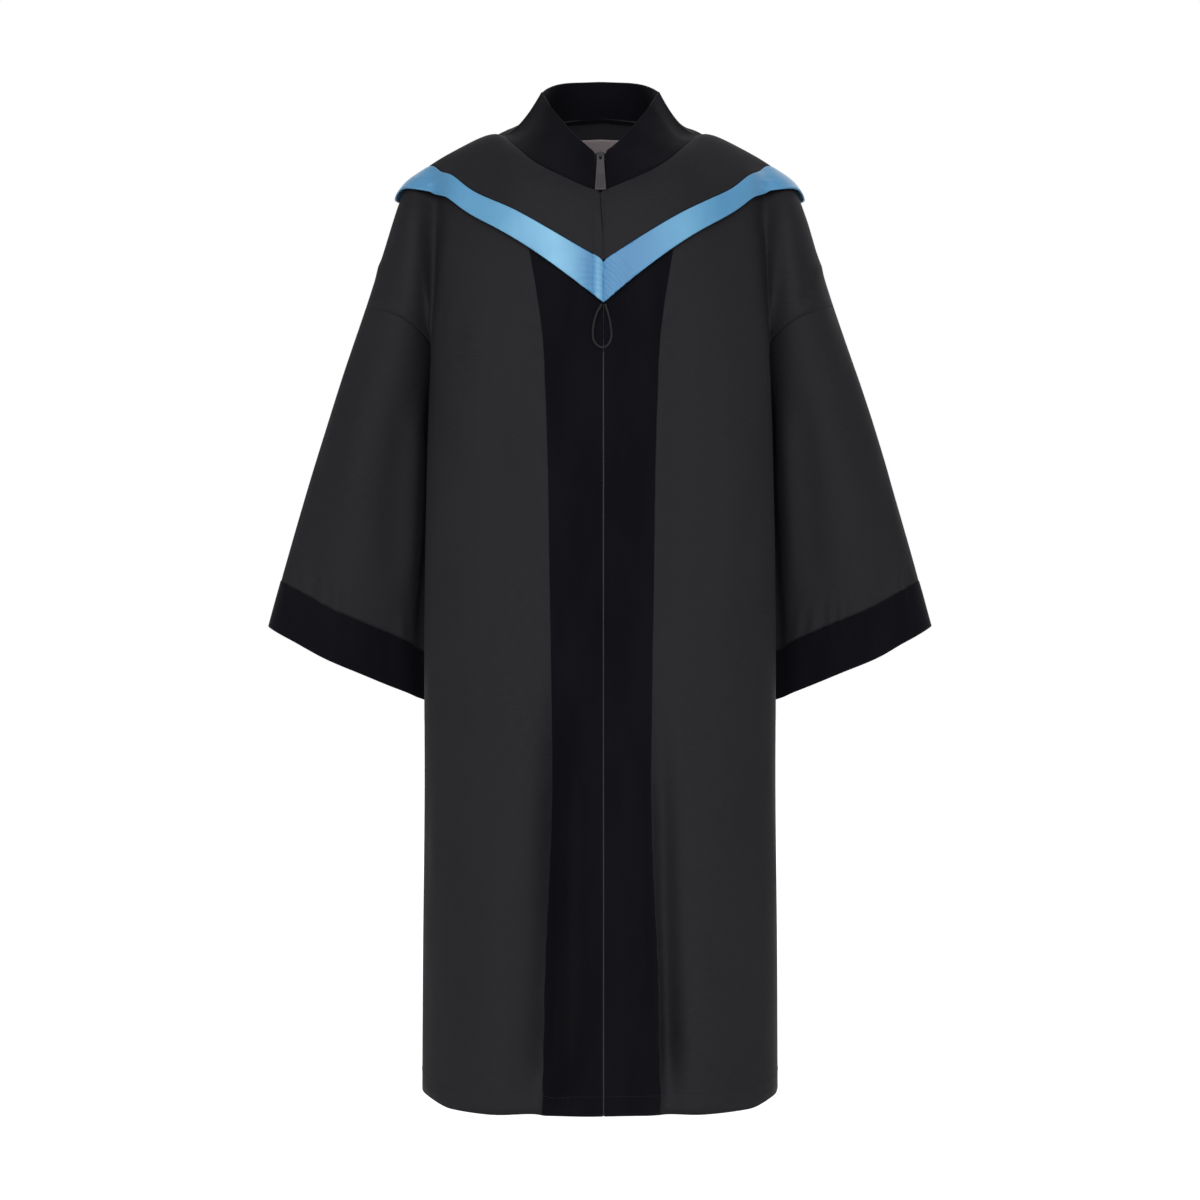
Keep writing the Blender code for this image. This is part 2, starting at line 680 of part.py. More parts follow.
def make_zip_tape():
    """The tape behind the centre front, from the hem to the top of the collar's V."""

    def centre_line(way):
        """way 0 to 1 climbs the front and 1 to 2 the collar."""
        return FRONT.point(0, way) if way <= 1 else collar_point(0, way - 1)

    def behind(across, way):
        up = centre_line(way + 0.01) - centre_line(way - 0.01)
        inwards = Vector((0, up.z, -up.y)).normalized()
        clear = CLOTH + SEAM + TAPE_COLLAR_CLEARANCE * ease((way - 1) / 0.4)
        point = centre_line(way) + inwards * clear
        point.x = across * TAPE_HALF_WIDTH
        return point

    ways = way_rows(0, 1) + steps(1, TAPE_TOP_WAY, 4)[1:]
    sheet("zip_tape", behind, steps(-1, 1, 2), ways, TAPE_WALL, tape_cloth, inside=BODY_MIDDLE)


def box(name, width, height, depth, collection):
    bm = bmesh.new()
    bmesh.ops.create_cube(bm, size=1)
    bmesh.ops.scale(bm, verts=bm.verts, vec=(width, height, depth))
    mesh = bpy.data.meshes.new(name)
    bm.to_mesh(mesh)
    bm.free()
    obj = bpy.data.objects.new(name, mesh)
    collection.objects.link(obj)
    return obj


def helper(obj):
    obj.hide_render = True
    obj.display_type = "WIRE"


def add_boolean(obj, other, operation):
    modifier = obj.modifiers.new(other.name, "BOOLEAN")
    modifier.object = other
    modifier.operation = operation


def make_zip_head():
    """Slider and pull. Their local Y runs up the zip and Z out of it; the pull turns about local X."""
    slope = collar_point(0, SLIDER_HEIGHT_WAY)
    out = Vector((0, -math.sin(ZIP_SLOPE), math.cos(ZIP_SLOPE)))
    pivot_out = COLLAR_OUT + PULL_CLEARANCE + PULL_DEPTH / 2
    head = bpy.data.objects.new("zip_head", None)
    head.location = placed(slope, 1) + out * pivot_out
    head.location.x = ZIP_X
    head.rotation_euler = (ZIP_SLOPE, 0, 0)
    gown.objects.link(head)

    slider = box("zip_slider", SLIDER_WIDTH, SLIDER_HEIGHT, SLIDER_DEPTH, gown)
    face = -PULL_DEPTH / 2 - SLIDER_CLEARANCE
    slider.location = (0, 0, face - SLIDER_DEPTH / 2)
    bridge = box("bridge", BRIDGE_WIDTH, BRIDGE_HEIGHT, BRIDGE_DEPTH, helpers)
    bridge.location = (0, 0, face - BRIDGE_ROOT + BRIDGE_DEPTH / 2)
    window = box("bridge_window", 2 * BRIDGE_WIDTH, BRIDGE_HEIGHT - 2 * BRIDGE_LEG, BRIDGE_WINDOW, helpers)
    window.location = (0, 0, face + BRIDGE_WINDOW / 2)
    for obj in (slider, bridge, window):
        obj.parent = head
    for obj in (bridge, window):
        helper(obj)
    slider.data.materials.append(metal)
    edge = slider.modifiers.new("Edge", "BEVEL")
    edge.width = SLIDER_EDGE
    edge.segments = 2
    add_boolean(slider, bridge, "UNION")
    add_boolean(slider, window, "DIFFERENCE")

    outline = bpy.data.curves.new("zip_pull", "CURVE")
    outline.dimensions = "2D"
    outline.fill_mode = "BOTH"
    outline.extrude = PULL_DEPTH / 2
    bar = PULL_DEPTH / 2
    wide = PULL_BOTTOM_WIDTH / 2
    narrow = PULL_TOP_WIDTH / 2
    low = bar - PULL_LENGTH
    round_in = 0.3 * PULL_LOW_CORNER
    half_border = (
        (narrow - PULL_TOP_CORNER, bar),
        (narrow, bar - PULL_TOP_CORNER),
        (wide, low + PULL_LOW_CORNER),
        (wide - round_in, low + round_in),
        (wide - PULL_LOW_CORNER, low),
    )
    border = half_border + tuple((-x, y) for x, y in half_border[::-1])
    half_window = PULL_WINDOW_WIDTH / 2
    hole = (
        (-half_window, -bar),
        (half_window, -bar),
        (half_window, -bar - PULL_WINDOW_HEIGHT),
        (-half_window, -bar - PULL_WINDOW_HEIGHT),
    )
    for points in (border, hole):
        spline = outline.splines.new("POLY")
        spline.points.add(len(points) - 1)
        for point, (x, y) in zip(spline.points, points):
            point.co = (x, y, 0, 1)
        spline.use_cyclic_u = True
    outline.materials.append(metal)
    pull = bpy.data.objects.new("zip_pull", outline)
    pull.parent = head
    gown.objects.link(pull)


def smooth_route(points, spacing):
    """Points evenly spaced along a smooth curve through the route."""
    padded = [points[0] * 2 - points[1], *points, points[-1] * 2 - points[-2]]
    fine = []
    for before, start, end, after in zip(padded, padded[1:], padded[2:], padded[3:]):
        for u in steps(0, 1, 12)[:-1]:
            slope_in = (end - before) / 2
            slope_out = (after - start) / 2
            fine.append(
                start * (1 + 2 * u) * (1 - u) ** 2
                + slope_in * u * (1 - u) ** 2
                + end * u * u * (3 - 2 * u)
                + slope_out * u * u * (u - 1)
            )
    fine.append(points[-1])
    lengths = [0.0]
    for a, b in zip(fine, fine[1:]):
        lengths.append(lengths[-1] + (b - a).length)
    count = round(lengths[-1] / spacing)
    even = []
    i = 0
    for wanted in steps(0, lengths[-1], count):
        while i < len(lengths) - 2 and lengths[i + 1] < wanted:
            i += 1
        even.append(fine[i].lerp(fine[i + 1], (wanted - lengths[i]) / (lengths[i + 1] - lengths[i])))
    return even


def make_cord_loop():
    """The loop hangs in front of the velvet, with both ends under the point of the trim."""
    lying = VELVET_PROUD + SEAM + CORD_DIAMETER / 2
    held = CAPE_OUT + TRIM_PROUD - TRIM_WALL / 2
    route = []
    for x, z in CORD_ROUTE:
        share, way = place_on(FRONT, abs(x - CENTRE_LEAN), z)
        out = mix(lying, held, ease((z - CORD_ROUTE[3][1]) / (CORD_ROUTE[1][1] - CORD_ROUTE[3][1])))
        face = moved_out(FRONT.point, out)(share, way)
        route.append(Vector((x, face.y, z)))
    curve = bpy.data.curves.new("cord_loop", "CURVE")
    curve.dimensions = "3D"
    curve.bevel_depth = CORD_DIAMETER / 2
    curve.bevel_resolution = 2
    curve.use_fill_caps = True
    spline = curve.splines.new("POLY")
    points = smooth_route(route, 2 * CORD_DIAMETER)
    spline.points.add(len(points) - 1)
    for point, place in zip(spline.points, points):
        point.co = (*place, 1)
    curve.materials.append(cord_cloth)
    gown.objects.link(bpy.data.objects.new("cord_loop", curve))


for old in list(bpy.data.objects):
    bpy.data.objects.remove(old)

gown = bpy.data.collections.new("graduation_gown")
helpers = bpy.data.collections.new("helpers")
for group in (gown, helpers):
    bpy.context.scene.collection.children.link(group)

cloth = cloth_material("gown cloth", (0.026, 0.026, 0.028), 0.5, 0.2)
velvet = cloth_material("black velvet", (0.007, 0.007, 0.010), 0.8, 0.8)
satin = cloth_material("light blue satin", (0.12, 0.38, 0.68), 0.35)
label_cloth = cloth_material("label", (0.10, 0.08, 0.09), 0.6)
tape_cloth = cloth_material("zip tape", (0.02, 0.02, 0.022), 0.7)
cord_cloth = cloth_material("cord", (0.03, 0.03, 0.032), 0.5)
metal = metal_material("zip metal", (0.30, 0.28, 0.29), 0.35)

FACING_COLUMNS = 6
ARMHOLE_STEPS = 14
NECK_SHARES = steps(0, 0.24, 4) + [0.29, FACING_SHARE, 0.335, 0.37, 0.41, 0.455, NECK_SHARE]
BACK_NECK_SHARES = steps(0, NECK_SHARE, 7)
SHOULDER_SHARES = steps(NECK_SHARE, CREASE_SHARE, 4)[1:] + [0.795, 0.84, 0.92, 1.0]
CAPE_WAYS = steps(0, 0.36, 6) + steps(0.36, 0.60, 12)[1:] + steps(0.60, 1, 6)[1:]

make_fronts()
make_facings()
make_back()
make_sleeves()
make_collar()
make_cape()
make_label()
make_zip_tape()
make_zip_head()
make_cord_loop()
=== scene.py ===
# Graduation gown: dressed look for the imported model
import math

import bmesh
import bpy
from mathutils import Matrix, Vector, noise
from mathutils.bvhtree import BVHTree


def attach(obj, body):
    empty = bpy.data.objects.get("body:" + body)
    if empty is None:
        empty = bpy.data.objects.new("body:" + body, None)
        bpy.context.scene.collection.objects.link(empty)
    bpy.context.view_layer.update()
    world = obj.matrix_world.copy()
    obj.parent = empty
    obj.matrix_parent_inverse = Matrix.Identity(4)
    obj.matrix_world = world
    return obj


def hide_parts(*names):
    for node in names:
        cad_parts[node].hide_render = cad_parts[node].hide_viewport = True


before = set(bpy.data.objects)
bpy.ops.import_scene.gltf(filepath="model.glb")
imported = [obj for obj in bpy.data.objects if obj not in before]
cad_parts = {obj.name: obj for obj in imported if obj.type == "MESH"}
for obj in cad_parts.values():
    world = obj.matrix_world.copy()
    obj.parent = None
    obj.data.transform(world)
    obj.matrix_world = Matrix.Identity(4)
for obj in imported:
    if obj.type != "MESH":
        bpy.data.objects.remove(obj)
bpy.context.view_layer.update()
scene = bpy.context.scene
scene.view_settings.view_transform = "Standard"

# Camera and light
photoView = {"place": (0, -2.6, -0.5487), "span": 1.416, "sensor": 36.0}
studio = {
    "floorZ": -1.45,
    "floorRadius": 14.0,
    "floorColour": (0.96, 0.96, 0.96),
    "floorGlow": 0.24,
    "backColour": (1.0, 1.0, 1.0),
    "ambient": 0.37,
    "keyStrength": 2.80,
    "keyTurn": (66, 0, -20),  # degrees
    "fillStrength": 1.85,
    "fillTurn": (70, 0, 24),
    "behindStrength": 1.3,
    "behindTurn": (62, 0, 165),
    "softness": 70,  # degrees across each light
}


def newObject(name, mesh):
    obj = bpy.data.objects.new(name, mesh)
    scene.collection.objects.link(obj)
    return obj


def meshFrom(name, bm):
    mesh = bpy.data.meshes.new(name)
    bm.to_mesh(mesh)
    bm.free()
    return mesh


def smoothFaces(mesh):
    mesh.polygons.foreach_set("use_smooth", [True] * len(mesh.polygons))


def clamp(value, low=0.0, high=1.0):
    return max(low, min(high, value))


def ease(value):
    value = clamp(value)
    return value * value * (3 - 2 * value)


def mix(a, b, share):
    return a + (b - a) * share


def makeCamera():
    data = bpy.data.cameras.new("photoCamera")
    data.sensor_width = photoView["sensor"]
    data.lens = photoView["sensor"] * -photoView["place"][1] / photoView["span"]
    data.clip_end = 60
    camera = newObject("photoCamera", data)
    camera.location = photoView["place"]
    camera.rotation_euler = (math.radians(90), 0, 0)
    scene.camera = camera


def makeStudio():
    bm = bmesh.new()
    bmesh.ops.create_circle(bm, cap_ends=True, segments=64, radius=studio["floorRadius"])
    bmesh.ops.translate(bm, verts=bm.verts, vec=(0, 0, studio["floorZ"]))
    floor = newObject("studioFloor", meshFrom("studioFloor", bm))
    material = bpy.data.materials.new("paleFloor")
    material.use_nodes = True
    shader = material.node_tree.nodes["Principled BSDF"]
    shader.inputs["Base Color"].default_value = (*studio["floorColour"], 1)
    shader.inputs["Roughness"].default_value = 0.9
    shader.inputs["Specular IOR Level"].default_value = 0.1
    shader.inputs["Emission Color"].default_value = (1, 1, 1, 1)
    shader.inputs["Emission Strength"].default_value = studio["floorGlow"]
    floor.data.materials.append(material)

    world = bpy.data.worlds.new("studio")
    world.use_nodes = True
    scene.world = world
    nodes, links = world.node_tree.nodes, world.node_tree.links
    nodes.clear()
    seen = nodes.new("ShaderNodeBackground")
    seen.inputs["Color"].default_value = (*studio["backColour"], 1)
    glow = nodes.new("ShaderNodeBackground")
    glow.inputs["Strength"].default_value = studio["ambient"]
    path = nodes.new("ShaderNodeLightPath")
    both = nodes.new("ShaderNodeMixShader")
    out = nodes.new("ShaderNodeOutputWorld")
    links.new(path.outputs["Is Camera Ray"], both.inputs["Fac"])
    links.new(glow.outputs["Background"], both.inputs[1])
    links.new(seen.outputs["Background"], both.inputs[2])
    links.new(both.outputs["Shader"], out.inputs["Surface"])

    for name in ("key", "fill", "behind"):
        data = bpy.data.lights.new(name, "SUN")
        data.energy = studio[name + "Strength"]
        data.angle = math.radians(studio["softness"])
        light = newObject(name, data)
        light.rotation_euler = [math.radians(turn) for turn in studio[name + "Turn"]]


makeCamera()
makeStudio()
print("camera and studio ready")


# Shader node groups
def newGroup(name, inputs, outputs):
    group = bpy.data.node_groups.new(name, "ShaderNodeTree")
    for label, kind, value in inputs:
        socket = group.interface.new_socket(label, in_out="INPUT", socket_type=kind)
        if value is not None:
            socket.default_value = value
    for label, kind in outputs:
        group.interface.new_socket(label, in_out="OUTPUT", socket_type=kind)
    return group, group.nodes.new("NodeGroupInput"), group.nodes.new("NodeGroupOutput")


def mathNode(tree, operation, first, second=None):
    node = tree.nodes.new("ShaderNodeMath")
    node.operation = operation
    for socket, value in zip(node.inputs, (first, second)):
        if value is None:
            continue
        if isinstance(value, (int, float)):
            socket.default_value = value
        else:
            tree.links.new(value, socket)
    return node.outputs[0]


def weaveGroup():
    # Crossing threads: the height of each thread and a light and dark fleck from one to the next
    group, source, target = newGroup(
        "wovenThreads",
        [
            ("Vector", "NodeSocketVector", None),
            ("Threads", "NodeSocketFloat", 1800.0),
            ("Slant", "NodeSocketFloat", 0.0),
        ],
        [("Height", "NodeSocketFloat"), ("Fleck", "NodeSocketFloat")],
    )
    links = group.links
    split = group.nodes.new("ShaderNodeSeparateXYZ")
    links.new(source.outputs["Vector"], split.inputs[0])
    warp = mathNode(group, "MULTIPLY", split.outputs["X"], source.outputs["Threads"])
    weft = mathNode(group, "MULTIPLY", split.outputs["Y"], source.outputs["Threads"])
    leaned = mathNode(group, "ADD", warp, mathNode(group, "MULTIPLY", weft, source.outputs["Slant"]))
    across = mathNode(group, "SINE", mathNode(group, "MULTIPLY", leaned, math.pi))
    along = mathNode(group, "SINE", mathNode(group, "MULTIPLY", weft, math.pi))
    crossed = mathNode(group, "MULTIPLY", across, along)
    height = mathNode(group, "ABSOLUTE", crossed)
    links.new(height, target.inputs["Height"])
    fleck = group.nodes.new("ShaderNodeTexNoise")
    fleck.inputs["Detail"].default_value = 1
    spread = group.nodes.new("ShaderNodeCombineXYZ")
    links.new(mathNode(group, "MULTIPLY", warp, 0.5), spread.inputs["X"])
    links.new(mathNode(group, "MULTIPLY", weft, 0.12), spread.inputs["Y"])
    links.new(spread.outputs[0], fleck.inputs["Vector"])
    fleck.inputs["Scale"].default_value = 1
    slubs = group.nodes.new("ShaderNodeTexNoise")
    slubs.inputs["Detail"].default_value = 2
    slubs.inputs["Scale"].default_value = 1
    thick = group.nodes.new("ShaderNodeCombineXYZ")
    links.new(mathNode(group, "MULTIPLY", split.outputs["X"], 110.0), thick.inputs["X"])
    links.new(mathNode(group, "MULTIPLY", split.outputs["Y"], 420.0), thick.inputs["Y"])
    links.new(thick.outputs[0], slubs.inputs["Vector"])
    flecks = mathNode(group, "MULTIPLY", fleck.outputs["Fac"], 0.4)
    both = mathNode(group, "ADD", flecks, slubs.outputs["Fac"])
    links.new(mathNode(group, "SUBTRACT", both, 0.2), target.inputs["Fleck"])
    return group


def softPatchGroup():
    # Slow change over the cloth from handling, folding and light
    group, source, target = newGroup(
        "softPatches",
        [("Vector", "NodeSocketVector", None), ("Scale", "NodeSocketFloat", 9.0)],
        [("Fac", "NodeSocketFloat")],
    )
    cloud = group.nodes.new("ShaderNodeTexNoise")
    cloud.inputs["Detail"].default_value = 3
    cloud.inputs["Roughness"].default_value = 0.55
    group.links.new(source.outputs["Vector"], cloud.inputs["Vector"])
    group.links.new(source.outputs["Scale"], cloud.inputs["Scale"])
    spread = group.nodes.new("ShaderNodeMapRange")
    spread.inputs["From Min"].default_value = 0.3
    spread.inputs["From Max"].default_value = 0.7
    group.links.new(cloud.outputs["Fac"], spread.inputs["Value"])
    group.links.new(spread.outputs["Result"], target.inputs["Fac"])
    return group


def pileGroup():
    # Short velvet pile: fine grain and brushed patches
    group, source, target = newGroup(
        "velvetPile",
        [("Vector", "NodeSocketVector", None), ("Grain", "NodeSocketFloat", 900.0)],
        [("Height", "NodeSocketFloat"), ("Brushed", "NodeSocketFloat")],
    )
    grain = group.nodes.new("ShaderNodeTexNoise")
    grain.inputs["Detail"].default_value = 2
    group.links.new(source.outputs["Vector"], grain.inputs["Vector"])
    group.links.new(source.outputs["Grain"], grain.inputs["Scale"])
    group.links.new(grain.outputs["Fac"], target.inputs["Height"])
    stretch = group.nodes.new("ShaderNodeMapping")
    stretch.inputs["Scale"].default_value = (1.0, 1.0, 0.25)
    group.links.new(source.outputs["Vector"], stretch.inputs["Vector"])
    brushed = group.nodes.new("ShaderNodeTexNoise")
    brushed.inputs["Scale"].default_value = 26
    brushed.inputs["Detail"].default_value = 3
    group.links.new(stretch.outputs["Vector"], brushed.inputs["Vector"])
    group.links.new(brushed.outputs["Fac"], target.inputs["Brushed"])
    return group


weaveNodes = weaveGroup()
patchNodes = softPatchGroup()
pileNodes = pileGroup()


def newMaterial(name, roughness, sheen=0.0, sheenRoughness=0.5, specular=0.5, metallic=0.0):
    material = bpy.data.materials.new(name)
    material.use_nodes = True
    shader = material.node_tree.nodes["Principled BSDF"]
    shader.inputs["Roughness"].default_value = roughness
    shader.inputs["Sheen Weight"].default_value = sheen
    shader.inputs["Sheen Roughness"].default_value = sheenRoughness
    shader.inputs["Specular IOR Level"].default_value = specular
    shader.inputs["Metallic"].default_value = metallic
    return material, material.node_tree, shader


def softMaterial(name, facts):
    return newMaterial(name, *(facts[key] for key in ("roughness", "sheen", "sheenRoughness", "specular")))


def placeGroup(tree, group, vector, **values):
    node = tree.nodes.new("ShaderNodeGroup")
    node.node_tree = group
    tree.links.new(vector, node.inputs["Vector"])
    for label, value in values.items():
        node.inputs[label].default_value = value
    return node


def colourRamp(tree, factor, low, high, start=0.0, end=1.0):
    ramp = tree.nodes.new("ShaderNodeValToRGB")
    ramp.color_ramp.elements[0].position = start
    ramp.color_ramp.elements[0].color = (*low, 1)
    ramp.color_ramp.elements[1].position = end
    ramp.color_ramp.elements[1].color = (*high, 1)
    tree.links.new(factor, ramp.inputs["Fac"])
    return ramp.outputs["Color"]


def mixColour(tree, factor, first, second):
    node = tree.nodes.new("ShaderNodeMix")
    node.data_type = "RGBA"
    tree.links.new(factor, node.inputs["Factor"])
    tree.links.new(first, node.inputs["A"])
    node.inputs["B"].default_value = (*second, 1)
    return node.outputs["Result"]


def bumpFrom(tree, shader, height, distance, strength):
    bump = tree.nodes.new("ShaderNodeBump")
    bump.inputs["Strength"].default_value = strength
    bump.inputs["Distance"].default_value = distance
    tree.links.new(height, bump.inputs["Height"])
    tree.links.new(bump.outputs["Normal"], shader.inputs["Normal"])


def mapRange(tree, value, low, high, fromLow=0.0, fromHigh=1.0):
    node = tree.nodes.new("ShaderNodeMapRange")
    node.inputs["From Min"].default_value = fromLow
    node.inputs["From Max"].default_value = fromHigh
    node.inputs["To Min"].default_value = low
    node.inputs["To Max"].default_value = high
    tree.links.new(value, node.inputs["Value"])
    return node.outputs["Result"]


gownCloth = {
    "dark": (0.0051, 0.0048, 0.0062),
    "light": (0.0081, 0.0076, 0.0093),
    "threads": 1500.0,
    "slant": 0.35,
}
patchCloth = {
    "dark": (0.115, 0.100, 0.103),
    "light": (0.150, 0.131, 0.135),
    "threads": 1400.0,
    "slant": 0.0,
}
tapeCloth = {
    "dark": (0.0030, 0.0030, 0.0040),
    "light": (0.0050, 0.0050, 0.0062),
    "threads": 1100.0,
    "slant": 1.0,
}
sewingThread = {
    "dark": (0.011, 0.011, 0.012),
    "light": (0.017, 0.017, 0.018),
    "threads": 5000.0,
    "slant": 2.0,
}
weaveFinish = {
    "roughness": 0.74,
    "smoother": 0.05,
    "rougher": 0.06,
    "sheen": 0.0,
    "sheenRoughness": 0.45,
    "specular": 0.12,
    "patchScale": 7.0,
    "flecks": (0.38, 0.68),  # the part of the fleck's range that shows
    "fleckShare": 0.7,
    "bump": 0.00006,
    "bumpStrength": 0.6,
}


def wovenMaterial(name, facts):
    rough = weaveFinish["roughness"]
    material, tree, shader = softMaterial(name, weaveFinish)
    coords = tree.nodes.new("ShaderNodeTexCoord")
    weave = placeGroup(
        tree, weaveNodes, coords.outputs["UV"], Threads=facts["threads"], Slant=facts["slant"]
    )
    patches = placeGroup(tree, patchNodes, coords.outputs["Object"], Scale=weaveFinish["patchScale"])
    base = colourRamp(tree, patches.outputs["Fac"], facts["dark"], facts["light"])
    fleck = mapRange(tree, weave.outputs["Fleck"], 0.0, weaveFinish["fleckShare"], *weaveFinish["flecks"])
    tree.links.new(mixColour(tree, fleck, base, facts["light"]), shader.inputs["Base Color"])
    worn = mapRange(
        tree, patches.outputs["Fac"], rough - weaveFinish["smoother"], rough + weaveFinish["rougher"]
    )
    tree.links.new(worn, shader.inputs["Roughness"])
    bumpFrom(tree, shader, weave.outputs["Height"], weaveFinish["bump"], weaveFinish["bumpStrength"])
    return material


velvetLook = {
    "dark": (0.0016, 0.0016, 0.0027),
    "light": (0.0027, 0.0026, 0.0041),
    "grain": 1100.0,
    "roughness": 0.9,
    "sheen": 0.045,
    "sheenRoughness": 0.4,
    "specular": 0.04,
    "bump": 0.0004,
    "bumpStrength": 0.5,
}


def velvetMaterial(name, facts):
    material, tree, shader = softMaterial(name, facts)
    coords = tree.nodes.new("ShaderNodeTexCoord")
    pile = placeGroup(tree, pileNodes, coords.outputs["Object"], Grain=facts["grain"])
    colour = colourRamp(tree, pile.outputs["Brushed"], facts["dark"], facts["light"], 0.3, 0.7)
    tree.links.new(colour, shader.inputs["Base Color"])
    bumpFrom(tree, shader, pile.outputs["Height"], facts["bump"], facts["bumpStrength"])
    return material


satinLook = {
    # deep is the band's darkest tone, which is also its painted shade; bright is its painted highlight; the
    # table below mixes between them
    "deep": (0.031, 0.124, 0.245),
    "bright": (0.125, 0.300, 0.430),
    "threads": 2600.0,
    "slant": 0.5,
    "patchScale": 16.0,
    "roughness": 0.40,
    "worn": (0.31, 0.42),  # lowest and highest roughness from patch to patch
    "sheen": 0.06,
    "sheenRoughness": 0.3,
    "specular": 0.30,
    "bump": 0.00005,
    "bumpStrength": 0.5,
    "paintedSheens": (  # x, reach and strength of each painted highlight on the band; a negative strength is painted shade, darker round the point
        (0.0, 0.9, 0.28),
        (-0.095, 0.035, 0.18),
        (-0.052, 0.038, 0.80),
        (-0.130, 0.060, 0.20),
        (-0.010, 0.025, -0.30),
        (0.030, 0.045, -0.26),
        (0.096, 0.040, 0.25),
        (-0.0022, 0.0062, 0.50),
    ),
}


def satinMaterial(name, facts):
    material, tree, shader = softMaterial(name, facts)
    coords = tree.nodes.new("ShaderNodeTexCoord")
    weave = placeGroup(
        tree, weaveNodes, coords.outputs["UV"], Threads=facts["threads"], Slant=facts["slant"]
    )
    patches = placeGroup(tree, patchNodes, coords.outputs["Object"], Scale=facts["patchScale"])
    split = tree.nodes.new("ShaderNodeSeparateXYZ")
    tree.links.new(coords.outputs["Object"], split.inputs[0])
    # Painted highlights and painted shade: the band is lighter or darker along x as the table sets, mottled
    # by the soft patches
    near = 0.0
    for spotX, spread, strength in facts["paintedSheens"]:
        away = mathNode(tree, "ABSOLUTE", mathNode(tree, "SUBTRACT", split.outputs["X"], spotX))
        near = mathNode(tree, "ADD", mapRange(tree, away, strength, 0.0, 0.0, spread), near)
    sheenAndMottling = mathNode(tree, "MULTIPLY", near, mapRange(tree, patches.outputs["Fac"], 0.7, 1.15))
    base = colourRamp(tree, sheenAndMottling, facts["deep"], facts["bright"])
    tree.links.new(base, shader.inputs["Base Color"])
    worn = mapRange(tree, patches.outputs["Fac"], *facts["worn"])
    tree.links.new(worn, shader.inputs["Roughness"])
    bumpFrom(tree, shader, weave.outputs["Height"], facts["bump"], facts["bumpStrength"])
    return material


metals = {
    "slider": {"colour": (0.006, 0.006, 0.008), "roughness": 0.45, "metallic": 0.2},
    "tab": {"colour": (0.0146, 0.0118, 0.0150), "roughness": 0.52, "metallic": 0.1},
    "rib": {"colour": (0.0095, 0.0078, 0.0100), "roughness": 0.52, "metallic": 0.1},
    "teeth": {"colour": (0.0165, 0.0163, 0.0170), "roughness": 0.50, "metallic": 0.1},
}
metalFinish = {"patchScale": 420.0, "brighter": 1.25, "worn": 0.08, "bump": 0.00004, "bumpStrength": 0.4}


def metalMaterial(name, facts):
    rough = facts["roughness"]
    material, tree, shader = newMaterial(name, rough, metallic=facts["metallic"])
    coords = tree.nodes.new("ShaderNodeTexCoord")
    patches = placeGroup(tree, patchNodes, coords.outputs["Object"], Scale=metalFinish["patchScale"])
    bright = tuple(channel * metalFinish["brighter"] for channel in facts["colour"])
    colour = colourRamp(tree, patches.outputs["Fac"], facts["colour"], bright)
    tree.links.new(colour, shader.inputs["Base Color"])
    worn = mapRange(tree, patches.outputs["Fac"], rough - metalFinish["worn"], rough + metalFinish["worn"])
    tree.links.new(worn, shader.inputs["Roughness"])
    bumpFrom(tree, shader, patches.outputs["Fac"], metalFinish["bump"], metalFinish["bumpStrength"])
    return material


cordLook = {
    "colour": (0.0060, 0.0059, 0.0066),
    "between": 0.45,  # painted shade: brightness in the groove between two strands
    "strands": 3.0,
    "twistsPerMetre": 420.0,
    "roughness": 0.6,
    "sheen": 0.03,
    "sheenRoughness": 0.5,
    "specular": 0.16,
    "bump": 0.0003,
    "bumpStrength": 0.9,
}


def cordMaterial(name, facts):
    material, tree, shader = softMaterial(name, facts)
    coords = tree.nodes.new("ShaderNodeTexCoord")
    split = tree.nodes.new("ShaderNodeSeparateXYZ")
    tree.links.new(coords.outputs["UV"], split.inputs[0])
    turns = mathNode(tree, "MULTIPLY", split.outputs["Y"], facts["twistsPerMetre"])
    phase = mathNode(tree, "ADD", mathNode(tree, "MULTIPLY", split.outputs["X"], facts["strands"]), turns)
    turned = mathNode(tree, "MULTIPLY", phase, math.pi)
    strands = mathNode(tree, "ABSOLUTE", mathNode(tree, "SINE", turned))
    # The grooves between strands are darkened as painted shade
    dark = tuple(channel * facts["between"] for channel in facts["colour"])
    tree.links.new(colourRamp(tree, strands, dark, facts["colour"], 0.0, 0.8), shader.inputs["Base Color"])
    bumpFrom(tree, shader, strands, facts["bump"], facts["bumpStrength"])
    return material


looks = {
    "gown": wovenMaterial("gownCloth", gownCloth),
    "velvet": velvetMaterial("blackVelvet", velvetLook),
    "satin": satinMaterial("blueSatin", satinLook),
    "label": wovenMaterial("barePatch", patchCloth),
    "tape": wovenMaterial("zipTape", tapeCloth),
    "thread": wovenMaterial("sewingThread", sewingThread),
    "cord": cordMaterial("twistedCord", cordLook),
    "slider": metalMaterial("sliderMetal", metals["slider"]),
    "tab": metalMaterial("tabMetal", metals["tab"]),
    "rib": metalMaterial("ribMetal", metals["rib"]),
    "teeth": metalMaterial("zipTeeth", metals["teeth"]),
}
print("materials ready")


# The cord loop under the point of the trim
cordLoop = {
    "diameter": 0.0024,
    "sides": 12,
    "spacing": 0.0012,
    "route": (
        (0.0019, -0.14569, -0.2192),
        (-0.0005, -0.14605, -0.2235),
        (-0.0040, -0.14586, -0.2300),
        (-0.0068, -0.14518, -0.2402),
        (-0.0080, -0.14591, -0.2531),
        (-0.0056, -0.14632, -0.2620),
        (0.0022, -0.14655, -0.2675),
        (0.0093, -0.14641, -0.2639),
        (0.0128, -0.14597, -0.2541),
        (0.0115, -0.14519, -0.2402),
        (0.0090, -0.14592, -0.2295),
        (0.0070, -0.14606, -0.2235),
        (0.0058, -0.14569, -0.2192),
    ),
}


def steps(start, end, count):
    return [mix(start, end, i / count) for i in range(count + 1)]


